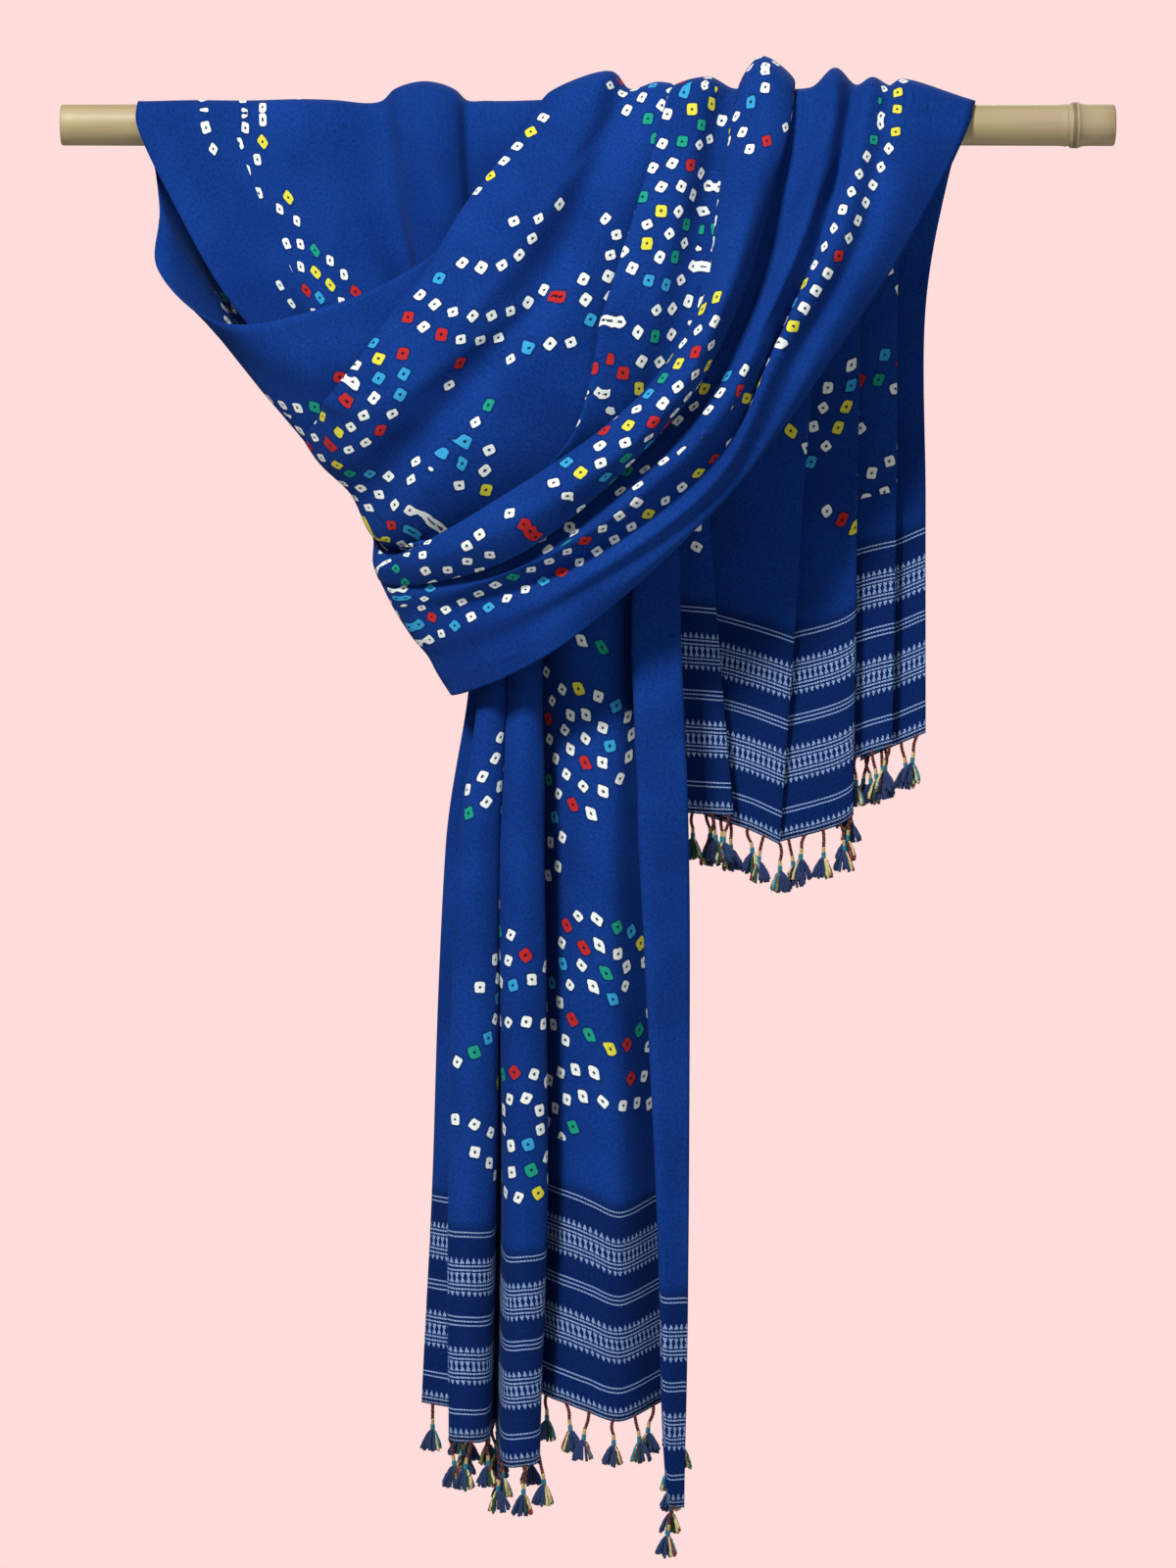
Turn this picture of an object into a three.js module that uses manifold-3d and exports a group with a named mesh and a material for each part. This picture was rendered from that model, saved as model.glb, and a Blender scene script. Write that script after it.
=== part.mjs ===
// A long tie-dyed shawl draped over a bamboo rod.
//
// Millimetres, +Z up, the viewer's side is -Y. The origin is on the rod's axis at mid length.
// The cloth is one strip, followed here from its short end to its long one:
//   back_fall    hangs behind the rod on the right and comes up over it
//   swag_front   falls in front, down to the left, and turns round at the left
//   swag_back    rises behind the rest to the left half of the rod
//   front_fall   comes over the rod on the left, drops through the loop and hangs as a long panel
// Each stretch is a wall laid through its fold lines, which run along the strip from end to end.

import * as THREE from 'three';
import { mergeVertices } from 'three/addons/utils/BufferGeometryUtils.js';
import Module from 'manifold-3d';

// ---------------------------------------------------------------- driving dimensions

const ROD = {
  length: 698, radius: 13.8, sides: 18, ring: 1.5, ringWidth: 14, ringCrest: 2, boreRadius: 6, boreDepth: 12,
};
const ROD_NODES = [322];                       // where the bamboo's joint rings lie along the rod
const CLOTH = { wall: 1.5, clear: 1.2, seam: 0.3, turnSeam: 2.4, hemSeam: 2.4 };
const EYE = { distance: 3000, height: -437 };  // the front elevation is drawn as seen from here
const SAMPLES = { across: 2, along: 2 };       // quads between two fold lines, and two stations
const STATIONS = { back: 11, rise: 10 };       // rows of quads along the two hidden stretches
const DROP_FADE = { turn: 0.35, behind: 0 };   // a fold opens out where the loop turns round
const TUCK = { reach: 0.6, lift: 0.3 };        // how far a lap runs towards the next fold line
const ROD_ANGLES = { seam: -35, shoulder: 48, front: 92, rise: -85, back: -90 };
const TASSEL = {
  count: 30, strip: 2.6, stem: 16, stemTop: 2.2, stemFoot: 4.4, tuft: 14.5, spread: 3.9, locks: 2,
  root: 1.2, lockRoot: 2.4, lockTip: 5.4, sides: 3, sway: 4, swayTurn: 2.1, lean: 1.5, turn: 0.6,
};

const COLOUR = { cloth: 0x1c4290, bamboo: 0xb5a07c, yarn: 0x2c5f92 };

// ---------------------------------------------------------------- fold tables
//
// One row is one fold line, from the selvedge "a" to the selvedge "b". "top" and "front" say where
// the line crosses the top and the front of the rod: [x, height above the rod]. The other columns
// are [x, z, out]: the front elevation and the distance out of the rod's plane to the viewer.
// A row with "laps" is the edge of a fold that lies over its neighbour on that side: the cloth
// runs on beneath it for "lap" and lies "drop" deeper there.

const SWAG_FOLDS = [
  { fold: 'selvedge_a', top: [4, 5], front: [-14, 7], upper: [-52, -36, 30], middle: [-106, -88, 38],
    lower: [-176, -121, 44], near: [-244, -131, 34], turn: [-285, -94, 4], behind: [-284, -62, -20] },
  { fold: 'edge_band', laps: 'a', lap: 16, drop: 11, top: [-18, 7], front: [-37, 11], upper: [-82, -55, 42],
    middle: [-113, -106, 52], lower: [-146, -148, 57], near: [-170, -178, 48],
    turn: [-186, -202, 12], behind: [-206, -176, -26] },
  { fold: 'first_ridge', top: [16, 20], front: [-2, 20], upper: [-26, -47, 58], middle: [-62, -100, 68],
    lower: [-98, -150, 72], near: [-143, -203, 56], turn: [-175, -225, 12], behind: [-192, -196, -28] },
  { fold: 'first_valley', top: [28, 9], front: [17, 9], upper: [2, -43, 43], middle: [-26, -105, 51],
    lower: [-66, -158, 57], near: [-112, -208, 50], turn: [-153, -247, 9], behind: [-166, -216, -32] },
  { fold: 'second_ridge', top: [47, 14], front: [38, 16], upper: [20, -48, 53], middle: [-12, -108, 63],
    lower: [-52, -172, 66], near: [-105, -236, 55], turn: [-140, -273, 9], behind: [-150, -240, -34] },
  { fold: 'third_edge', laps: 'a', lap: 11, drop: 9, top: [61, 11], front: [48, 17], upper: [33, -53, 56],
    middle: [12, -118, 65], lower: [-12, -208, 64], near: [-84, -268, 44],
    turn: [-133, -277, 6], behind: [-147, -247, -35] },
  { fold: 'third_ridge', top: [81, 16], front: [72, 20], upper: [56, -64, 62], middle: [38, -130, 68],
    lower: [14, -206, 56], near: [-66, -276, 38], turn: [-131, -280, 4], behind: [-145, -252, -36] },
  { fold: 'third_valley', top: [97, 9], front: [88, 9], upper: [79, -51, 43], middle: [70, -110, 56],
    lower: [44, -188, 56], near: [-50, -270, 44], turn: [-130, -283, 4], behind: [-144, -257, -37] },
  { fold: 'great_edge', laps: 'a', lap: 10, drop: 9, top: [103, 14], front: [95, 18], upper: [86, -53, 62],
    middle: [79, -108, 72], lower: [34, -180, 80], near: [-66, -252, 72],
    turn: [-132, -286, 13], behind: [-143, -264, -35] },
  { fold: 'great_crest', top: [115, 30], front: [118, 30], upper: [107, -60, 80], middle: [90, -115, 92],
    lower: [46, -194, 98], near: [-58, -268, 84], turn: [-138, -294, 15], behind: [-142, -275, -34] },
  { fold: 'great_far_edge', laps: 'b', lap: 10, drop: 14, top: [137, 13], front: [133, 20],
    upper: [118, -60, 62], middle: [99, -120, 74], lower: [60, -190, 82], near: [-44, -284, 70],
    turn: [-134, -304, 13], behind: [-139, -284, -36] },
  { fold: 'fifth_shoulder', top: [149, 9], front: [143, 13], upper: [130, -54, 46], middle: [109, -118, 60],
    lower: [68, -192, 72], near: [-36, -288, 66], turn: [-131, -309, 13], behind: [-136, -289, -37] },
  { fold: 'fifth_crest', top: [164, 22], front: [160, 24], upper: [143, -70, 66], middle: [118, -130, 76],
    lower: [82, -198, 84], near: [-18, -282, 75], turn: [-128, -316, 13], behind: [-132, -296, -39] },
  { fold: 'fifth_valley', top: [178, 11], front: [171, 12], upper: [158, -62, 48], middle: [133, -124, 58],
    lower: [91, -214, 65], near: [-10, -293, 62], turn: [-125, -323, 10], behind: [-125, -303, -39] },
  { fold: 'margin_crest', top: [189, 16], front: [181, 20], upper: [168, -70, 58], middle: [128, -146, 70],
    lower: [86, -234, 74], near: [-14, -306, 70], turn: [-114, -341, 9], behind: [-110, -318, -41] },
  { fold: 'margin_hollow', top: [200, 11], front: [194, 14], upper: [182, -70, 48], middle: [142, -148, 60],
    lower: [92, -238, 66], near: [-17, -318, 65], turn: [-104, -353, 8], behind: [-98, -330, -40] },
  { fold: 'margin_second', top: [208, 15], front: [206, 15], upper: [196, -68, 48], middle: [153, -150, 58],
    lower: [96, -242, 63], near: [-18, -332, 63], turn: [-98, -365, 9], behind: [-89, -342, -38] },
  { fold: 'selvedge_b', top: [257, 1], front: [252, 2], upper: [221, -64, 34], middle: [166, -148, 48],
    lower: [95, -242, 56], near: [-18, -346, 58], turn: [-90, -378, 10], behind: [-76, -358, -34] },
];

// "lower" is just above the loop, "cinch" is where the loop gathers the cloth.
const FALL_FOLDS = [
  { fold: 'selvedge_a', top: [-298, 1], front: [-298, 2], upper: [-276, -50, 19], middle: [-226, -132, 20],
    lower: [-118, -225, 2], cinch: [-79, -337, -9], chest: [-94, -479, -36], knee: [-103, -690, -40],
    hem: [-110, -847, -34] },
  { fold: 'left_tuck', top: [-254, 1], front: [-254, 2], upper: [-236, -50, 17], middle: [-190, -132, 14],
    lower: [-100, -225, -2], cinch: [-62, -337, -10], chest: [-68, -479, -10], knee: [-72, -690, -10],
    hem: [-76, -856, -10] },
  { fold: 'pleat_one_left', top: [-228, 1], front: [-228, 2], upper: [-214, -50, 18],
    middle: [-176, -132, 22], lower: [-106, -225, 12],
    cinch: [-73, -338, 8], chest: [-86, -479, 14], knee: [-92, -690, 16],
    hem: [-92, -872, 16] },
  { fold: 'pleat_one_crest', top: [-204, 1], front: [-204, 2], upper: [-191, -50, 18],
    middle: [-156, -132, 24], lower: [-95, -225, 17],
    cinch: [-65, -339, 15], chest: [-74, -479, 22], knee: [-78, -690, 24],
    hem: [-80, -874, 22] },
  { fold: 'pleat_one_right', top: [-168, 1], front: [-168, 2], upper: [-158, -50, 17],
    middle: [-130, -132, 20], lower: [-84, -225, 13],
    cinch: [-57, -338, 11], chest: [-60, -479, 14], knee: [-63, -690, 15],
    hem: [-68, -873, 14] },
  { fold: 'gap_floor', top: [-138, 1], front: [-134, 2], upper: [-128, -52, 14], middle: [-108, -132, 10],
    lower: [-78, -225, 2], cinch: [-58, -337, -16], chest: [-59, -479, -30], knee: [-60, -690, -30],
    hem: [-62, -858, -26] },
  { fold: 'pleat_two_left', top: [-128, 9], front: [-124, 11], upper: [-118, -52, 26],
    middle: [-104, -132, 26], lower: [-72, -225, 20],
    cinch: [-54, -338, 11], chest: [-57, -479, 14], knee: [-55, -690, 15],
    hem: [-56, -889, 14] },
  { fold: 'pleat_two_crest', top: [-108, 13], front: [-106, 15], upper: [-102, -52, 31],
    middle: [-92, -132, 32], lower: [-62, -225, 26],
    cinch: [-43, -340, 20], chest: [-44, -479, 23], knee: [-42, -690, 24],
    hem: [-45, -890, 22] },
  { fold: 'pleat_two_right', top: [-89, 8], front: [-88, 10], upper: [-86, -52, 25], middle: [-78, -132, 27],
    lower: [-50, -225, 21], cinch: [-32, -338, 12], chest: [-30, -479, 14], knee: [-28, -690, 15],
    hem: [-33, -886, 14] },
  { fold: 'belly_left', top: [-80, 1], front: [-80, 2], upper: [-78, -52, 17], middle: [-70, -132, 12],
    lower: [-46, -225, 5], cinch: [-40, -345, -16], chest: [-40, -479, -30], knee: [-40, -690, -32],
    hem: [-44, -838, -30] },
  { fold: 'belly_shoulder', top: [-68, 1], front: [-67, 2], upper: [-62, -52, 17], middle: [-53, -132, 15],
    lower: [-32, -225, 9], cinch: [-20, -346, -4], chest: [-14, -479, -3], knee: [-12, -690, -3],
    hem: [-20, -846, -4] },
  { fold: 'belly_middle', top: [-56, 1], front: [-54, 2], upper: [-46, -52, 18], middle: [-36, -132, 18],
    lower: [-18, -225, 12], cinch: [-8, -347, 2], chest: [0, -479, 3], knee: [4, -690, 3],
    hem: [-2, -853, 2] },
  { fold: 'belly_right', top: [-30, 1], front: [-26, 2], upper: [-16, -52, 17], middle: [-4, -132, 17],
    lower: [12, -225, 10], cinch: [14, -347, 2], chest: [15, -479, 2], knee: [20, -690, 2],
    hem: [20, -860, 1] },
  { fold: 'margin_tuck', top: [-10, 1], front: [-6, 2], upper: [8, -52, 15], middle: [22, -132, 12],
    lower: [38, -225, 4], cinch: [40, -345, -10], chest: [46, -479, -17], knee: [54, -690, -28],
    hem: [58, -846, -26] },
  { fold: 'margin_edge', top: [2, 1], front: [4, 3], upper: [12, -52, 21], middle: [20, -132, 24],
    lower: [30, -225, 20], cinch: [30, -348, 16], chest: [35, -479, 20], knee: [45, -690, 20],
    hem: [53, -916, 18] },
  { fold: 'selvedge_b', top: [14, 1], front: [18, 4], upper: [32, -52, 22], middle: [44, -132, 26],
    lower: [58, -225, 22], cinch: [62, -347, 14], chest: [67, -479, 14], knee: [67, -690, 14],
    hem: [64, -917, 13] },
];

const BACK_FOLDS = [
  { fold: 'selvedge_a', back: [8, 4], upper: [14, -110, -31], middle: [22, -250, -29], hem: [28, -452, -27] },
  { fold: 'first_crest', back: [44, 6], upper: [50, -110, -29],
    middle: [56, -250, -26], hem: [62, -456, -24] },
  { fold: 'first_edge', laps: 'b', lap: 30, drop: 13, back: [78, 5], upper: [74, -110, -29],
    middle: [79, -250, -27], hem: [96, -458, -25] },
  { fold: 'second_crest', back: [106, 8], upper: [112, -110, -39], middle: [108, -250, -36],
    hem: [108, -468, -34] },
  { fold: 'second_edge', back: [140, 6], upper: [148, -110, -39], middle: [142, -250, -36],
    hem: [127, -477, -34] },
  { fold: 'second_under', back: [128, 5], upper: [134, -110, -47], middle: [130, -250, -45],
    hem: [126, -476, -38] },
  { fold: 'third_edge', back: [176, 6], upper: [180, -110, -47], middle: [178, -250, -45],
    hem: [175, -458, -43] },
  { fold: 'third_under', back: [160, 5], upper: [160, -110, -58], middle: [158, -250, -57],
    hem: [166, -428, -57] },
  { fold: 'fourth_edge', laps: 'b', lap: 24, drop: 13, back: [212, 5], upper: [205, -110, -56],
    middle: [204, -250, -54], hem: [202, -412, -52] },
  { fold: 'selvedge_b', back: [250, 3], upper: [225, -110, -66], middle: [224, -250, -63],
    hem: [224, -403, -61] },
];

// Half way between the turn and the rod, behind everything: [share of the way across, x, z, out].
const RISE_FOLDS = [
  { share: 0.0, low: [-284, -52, -27], high: [-288, -24, -24] },
  { share: 0.09, low: [-240, -104, -58], high: [-254, -50, -44] },
  { share: 0.19, low: [-202, -140, -28], high: [-220, -70, -24] },
  { share: 0.29, low: [-176, -166, -60], high: [-190, -82, -46] },
  { share: 0.39, low: [-152, -184, -30], high: [-160, -94, -26] },
  { share: 0.5, low: [-134, -204, -62], high: [-134, -104, -46] },
  { share: 0.6, low: [-118, -214, -32], high: [-108, -110, -26] },
  { share: 0.7, low: [-102, -230, -64], high: [-80, -118, -46] },
  { share: 0.79, low: [-88, -244, -34], high: [-56, -124, -26] },
  { share: 0.87, low: [-74, -262, -64], high: [-34, -132, -44] },
  { share: 0.94, low: [-60, -274, -38], high: [-18, -140, -26] },
  { share: 1.0, low: [-44, -286, -56], high: [-4, -146, -38] },
];

// ---------------------------------------------------------------- laying the cloth

const mix = (a, b, t) => a + (b - a) * t;

/** A point of the front elevation, moved along its line of sight to its distance out. */
function sighted([x, z, out]) {
  const near = 1 - out / EYE.distance;
  return new THREE.Vector3(x * near, -out, EYE.height + (z - EYE.height) * near);
}

/** A point on cloth that crosses the rod, at an angle from the top towards the viewer. */
function overRod(x, lift, degrees) {
  const angle = THREE.MathUtils.degToRad(degrees);
  const radius = ROD.radius + CLOTH.clear + lift;
  return new THREE.Vector3(x, -radius * Math.sin(angle), radius * Math.cos(angle));
}

/** A fold line's way over the rod, from the seam behind its top to its front. */
function acrossRod([topX, topLift], [frontX, frontLift]) {
  return [
    overRod(topX, 0.8 * topLift, ROD_ANGLES.seam),
    overRod(topX, topLift, 0),
    overRod(mix(topX, frontX, 0.5), mix(topLift, frontLift, 0.5), ROD_ANGLES.shoulder),
    overRod(frontX, frontLift, ROD_ANGLES.front),
  ];
}

/** The smooth curve through a row of points. */
function smooth(points) {
  return new THREE.CatmullRomCurve3(points, false, 'centripetal');
}

/** Adds to each lapping row the hidden line where its cloth turns back beneath it. */
function withTucks(rows, rodColumns, freeColumns) {
  const lines = [];
  rows.forEach((row, index) => {
    if (!row.laps) {
      lines.push(row);
      return;
    }
    const inward = row.laps === 'a' ? rows[index + 1] : rows[index - 1];
    const tuck = { fold: `${row.fold}_tuck` };
    for (const column of rodColumns) {
      const [x, lift] = row[column];
      const shift = Math.min(row.lap, TUCK.reach * Math.abs(inward[column][0] - x));
      tuck[column] = [x + Math.sign(inward[column][0] - x) * shift, Math.max(1, lift - TUCK.lift * row.drop)];
    }
    for (const column of freeColumns) {
      const [x, z, out] = row[column];
      const dx = inward[column][0] - x;
      const dz = inward[column][1] - z;
      const drop = row.drop * (DROP_FADE[column] ?? 1);
      const step = Math.min(row.lap / Math.hypot(dx, dz), TUCK.reach);
      tuck[column] = [x + dx * step, z + dz * step, out - drop];
    }
    lines.push(...(row.laps === 'a' ? [tuck, row] : [row, tuck]));
  });
  return lines;
}

/** Lays a net of points through fold lines, each a list of stations along the strip. */
function netOf(lines, across = SAMPLES.across, along = SAMPLES.along) {
  const runs = lines.map((stations) => smooth(stations));
  const columns = (lines[0].length - 1) * along;
  const steps = (lines.length - 1) * across;
  const net = [];
  for (let j = 0; j <= columns; j += 1) {
    const section = smooth(runs.map((run) => run.getPoint(j / columns)));
    const points = [];
    for (let i = 0; i <= steps; i += 1) points.push(section.getPoint(i / steps));
    net.push(points);
  }
  return net;
}

/** The unit normals of a net, from the neighbours of each point. */
function normalsOf(net) {
  const last = net.length - 1;
  return net.map((points, j) => points.map((_, i) => {
    const end = points.length - 1;
    const across = new THREE.Vector3().subVectors(points[Math.min(i + 1, end)], points[Math.max(i - 1, 0)]);
    const along = new THREE.Vector3().subVectors(net[Math.min(j + 1, last)][i], net[Math.max(j - 1, 0)][i]);
    return across.cross(along).normalize();
  }));
}

/** Draws the ends of a net back by the given gaps, to part it from its neighbours at the seams. */
function trimmed(net, startGap, endGap) {
  const pull = (edge, inner, gap) => edge.map((point, i) => {
    const away = new THREE.Vector3().subVectors(inner[i], point);
    return point.clone().addScaledVector(away.normalize(), gap);
  });
  const last = net.length - 1;
  return net.map((points, j) => {
    if (j === 0) return pull(points, net[1], startGap);
    if (j === last) return pull(points, net[last - 1], endGap);
    return points;
  });
}

/** The normals along a net's edge, taken at as many points as another net has there. */
function edgeNormals(normals, width) {
  return Array.from({ length: width }, (_, i) => {
    const place = (i / (width - 1)) * (normals.length - 1);
    const left = Math.min(Math.floor(place), normals.length - 2);
    return normals[left].clone().lerp(normals[left + 1], place - left).normalize();
  });
}

/** Gives two nets that meet at a seam the same normals there, half way between their own. */
function shareSeam(normals, row, otherNormals, otherRow) {
  const shared = normals[row].map((normal, i) => {
    const other = otherNormals[otherRow][i];
    const facing = normal.dot(other) < 0 ? -1 : 1;
    return normal.clone().addScaledVector(other, facing).normalize();
  });
  normals[row] = shared;
  otherNormals[otherRow] = shared.map((normal, i) => {
    const facing = normal.dot(otherNormals[otherRow][i]) < 0 ? -1 : 1;
    return normal.clone().multiplyScalar(facing);
  });
}

/** Closes a net into a wall of the cloth's thickness, with its faces pointing out. */
function wallOf(net, normals = normalsOf(net), thickness = CLOTH.wall) {
  const positions = [];
  const faces = [];
  const rows = net.length;
  const width = net[0].length;
  for (const side of [0.5, -0.5]) {
    net.forEach((points, j) => points.forEach((point, i) => {
      const moved = point.clone().addScaledVector(normals[j][i], side * thickness);
      positions.push(moved.x, moved.y, moved.z);
    }));
  }
  const at = (j, i, side) => side * rows * width + j * width + i;
  const quad = (a, b, c, d) => faces.push(a, b, c, a, c, d);
  for (let j = 0; j + 1 < rows; j += 1) {
    for (let i = 0; i + 1 < width; i += 1) {
      quad(at(j, i, 0), at(j, i + 1, 0), at(j + 1, i + 1, 0), at(j + 1, i, 0));
      quad(at(j, i, 1), at(j + 1, i, 1), at(j + 1, i + 1, 1), at(j, i + 1, 1));
    }
    quad(at(j, 0, 1), at(j, 0, 0), at(j + 1, 0, 0), at(j + 1, 0, 1));
    quad(at(j, width - 1, 0), at(j, width - 1, 1), at(j + 1, width - 1, 1), at(j + 1, width - 1, 0));
  }
  for (let i = 0; i + 1 < width; i += 1) {
    quad(at(0, i, 0), at(0, i, 1), at(0, i + 1, 1), at(0, i + 1, 0));
    quad(at(rows - 1, i, 1), at(rows - 1, i, 0), at(rows - 1, i + 1, 0), at(rows - 1, i + 1, 1));
  }
  const geometry = new THREE.BufferGeometry();
  geometry.setAttribute('position', new THREE.Float32BufferAttribute(positions, 3));
  geometry.setIndex(faces);
  return geometry;
}

// ---------------------------------------------------------------- the four stretches

const swagRows = withTucks(SWAG_FOLDS, ['top', 'front'],
  ['upper', 'middle', 'lower', 'near', 'turn', 'behind']);
const swagLines = swagRows.map((row) => [
  ...acrossRod(row.top, row.front),
  ...[row.upper, row.middle, row.lower, row.near, row.turn, row.behind].map(sighted),
]);
const swagNet = netOf(swagLines);

const fallLines = FALL_FOLDS.map((row) => [
  ...acrossRod(row.top, row.front),
  ...[row.upper, row.middle, row.lower, row.cinch, row.chest, row.knee, row.hem].map(sighted),
]);
const fallNet = netOf(fallLines);

/** The point at a share of the way across one section of a net. */
function acrossNet(points, share) {
  return smooth(points).getPoint(share);
}

/** A net that carries on from a finished one, column by column, through new sections. */
function carriedOn(before, start, sections, after, stations) {
  const width = start.length;
  const columns = start.map((point, i) => {
    const share = i / (width - 1);
    const middle = sections.map((section) => section.getPoint(share));
    const tail = after.map((section) => section.getPoint(share));
    const run = smooth([before[i], point, ...middle, ...tail]);
    const legs = middle.length + tail.length + 1;
    const used = legs - (tail.length > 1 ? 1 : 0);
    const samples = [];
    for (let j = 0; j <= stations; j += 1) {
      const leg = 1 + ((used - 1) * j) / stations;
      samples.push(run.getPoint(leg / legs));
    }
    return samples;
  });
  const net = [];
  for (let j = 0; j <= stations; j += 1) net.push(columns.map((samples) => samples[j]));
  return net;
}

const backRows = withTucks(BACK_FOLDS, ['back'], ['upper', 'middle', 'hem']);
const backSections = [
  smooth(backRows.map((row) => overRod(row.back[0], row.back[1], ROD_ANGLES.back))),
  ...['upper', 'middle', 'hem'].map((column) => smooth(backRows.map((row) => sighted(row[column])))),
];
const backNet = carriedOn(swagNet[1], swagNet[0], backSections, [], STATIONS.back);

const riseSections = ['low', 'high'].map((column) => smooth(RISE_FOLDS.map((row) => sighted(row[column]))));
const rodSection = smooth(RISE_FOLDS.map((row) => {
  const rod = smooth(fallNet[0]).getPoint(row.share);
  return overRod(rod.x, 1, ROD_ANGLES.rise);
}));
const riseNet = carriedOn(swagNet.at(-2), swagNet.at(-1), [...riseSections, rodSection],
  [smooth(fallNet[0]), smooth(fallNet[1])], STATIONS.rise);

// ---------------------------------------------------------------- tassels

const wasm = await Module();
wasm.setup();

function solidOf(geometry) {
  const bare = geometry.clone();
  for (const name of Object.keys(bare.attributes)) {
    if (name !== 'position') bare.deleteAttribute(name);
  }
  const merged = mergeVertices(bare, 1e-4);
  return new wasm.Manifold(new wasm.Mesh({
    numProp: 3,
    vertProperties: Float32Array.from(merged.attributes.position.array),
    triVerts: Uint32Array.from(merged.index.array),
  }));
}

function geometryOf(solid) {
  const mesh = solid.getMesh();
  const geometry = new THREE.BufferGeometry();
  geometry.setAttribute('position', new THREE.Float32BufferAttribute(mesh.vertProperties, 3));
  geometry.setIndex(Array.from(mesh.triVerts));
  return geometry;
}

/** A plain strand between two points, with its own width at each end. */
function strand(from, to, widthFrom, widthTo) {
  const length = from.distanceTo(to);
  const geometry = new THREE.CylinderGeometry(widthTo / 2, widthFrom / 2, length, TASSEL.sides);
  const direction = new THREE.Vector3().subVectors(to, from).normalize();
  const turn = new THREE.Quaternion().setFromUnitVectors(new THREE.Vector3(0, 1, 0), direction);
  geometry.applyQuaternion(turn);
  geometry.translate((from.x + to.x) / 2, (from.y + to.y) / 2, (from.z + to.z) / 2);
  return geometry;
}

/** The point at a share of the length of a straight-sided path. */
function alongPath(points, share) {
  const lengths = points.slice(1).map((point, i) => point.distanceTo(points[i]));
  let rest = share * lengths.reduce((sum, length) => sum + length, 0);
  const leg = lengths.findIndex((length, i) => {
    if (rest <= length || i === lengths.length - 1) return true;
    rest -= length;
    return false;
  });
  return points[leg].clone().lerp(points[leg + 1], rest / lengths[leg]);
}

/** A narrow strip just below a hem, with the tassels that hang from it, as one solid. */
function fringeOf(hem, normals) {
  const lowered = (drop) => hem.map((point) => new THREE.Vector3(point.x, point.y, point.z - drop));
  const first = CLOTH.hemSeam;
  const strip = wallOf([lowered(first), lowered(first + TASSEL.strip)], [normals, normals]);
  const line = lowered(first + 0.6 * TASSEL.strip);
  const pieces = [solidOf(strip)];
  for (let k = 0; k < TASSEL.count; k += 1) {
    const root = alongPath(line, (k + 0.5) / TASSEL.count);
    const sway = TASSEL.sway * Math.sin(TASSEL.swayTurn * k);
    const neck = root.clone().add(new THREE.Vector3(sway, -TASSEL.lean, -TASSEL.stem));
    pieces.push(solidOf(strand(root, neck, TASSEL.stemTop, TASSEL.stemFoot)));
    for (let lock = 0; lock < TASSEL.locks; lock += 1) {
      const spin = (2 * Math.PI * lock) / TASSEL.locks + TASSEL.turn * Math.sin(k);
      const reach = TASSEL.spread * (0.8 + 0.2 * Math.sin(3 * k + lock));
      const tip = neck.clone().add(new THREE.Vector3(
        reach * Math.cos(spin), 0.6 * reach * Math.sin(spin), -TASSEL.tuft));
      const start = neck.clone().add(new THREE.Vector3(
        TASSEL.root * Math.cos(spin), TASSEL.root * Math.sin(spin), 1));
      pieces.push(solidOf(strand(start, tip, TASSEL.lockRoot, TASSEL.lockTip)));
    }
  }
  return geometryOf(wasm.Manifold.union(pieces));
}

// ---------------------------------------------------------------- rod

/** The bamboo pole, lying along X, swollen at its joint rings and bored at both ends. */
function rodGeometry() {
  const half = ROD.length / 2;
  const profile = [
    [0, -half + ROD.boreDepth], [ROD.boreRadius, -half + ROD.boreDepth], [ROD.boreRadius, -half],
    [ROD.radius, -half],
  ];
  for (const at of ROD_NODES) {
    profile.push([ROD.radius, at - ROD.ringWidth], [ROD.radius + ROD.ring, at - ROD.ringCrest]);
    profile.push([ROD.radius + ROD.ring, at + ROD.ringCrest], [ROD.radius, at + ROD.ringWidth]);
  }
  profile.push([ROD.radius, half], [ROD.boreRadius, half], [ROD.boreRadius, half - ROD.boreDepth],
    [0, half - ROD.boreDepth]);
  const points = profile.map(([radius, along]) => new THREE.Vector2(radius, along));
  const geometry = new THREE.LatheGeometry(points, ROD.sides);
  geometry.rotateZ(-Math.PI / 2);
  return geometry;
}

// ---------------------------------------------------------------- the scene graph

function clothMaterial() {
  return new THREE.MeshStandardMaterial({ color: COLOUR.cloth, roughness: 0.9, metalness: 0 });
}

function yarnMaterial() {
  return new THREE.MeshStandardMaterial({ color: COLOUR.yarn, roughness: 0.85, metalness: 0 });
}

const bambooMaterial = new THREE.MeshStandardMaterial({ color: COLOUR.bamboo, roughness: 0.5, metalness: 0 });

const shawl = new THREE.Group();

function add(name, geometry, material) {
  const mesh = new THREE.Mesh(geometry, material);
  mesh.name = name;
  shawl.add(mesh);
}

const swagNormals = normalsOf(swagNet);
const fallNormals = normalsOf(fallNet);
const backNormals = normalsOf(backNet);
const riseNormals = normalsOf(riseNet);
shareSeam(swagNormals, 0, backNormals, 0);
shareSeam(swagNormals, swagNormals.length - 1, riseNormals, 0);
riseNormals[riseNormals.length - 1] = edgeNormals(fallNormals[0], riseNet[0].length);

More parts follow.
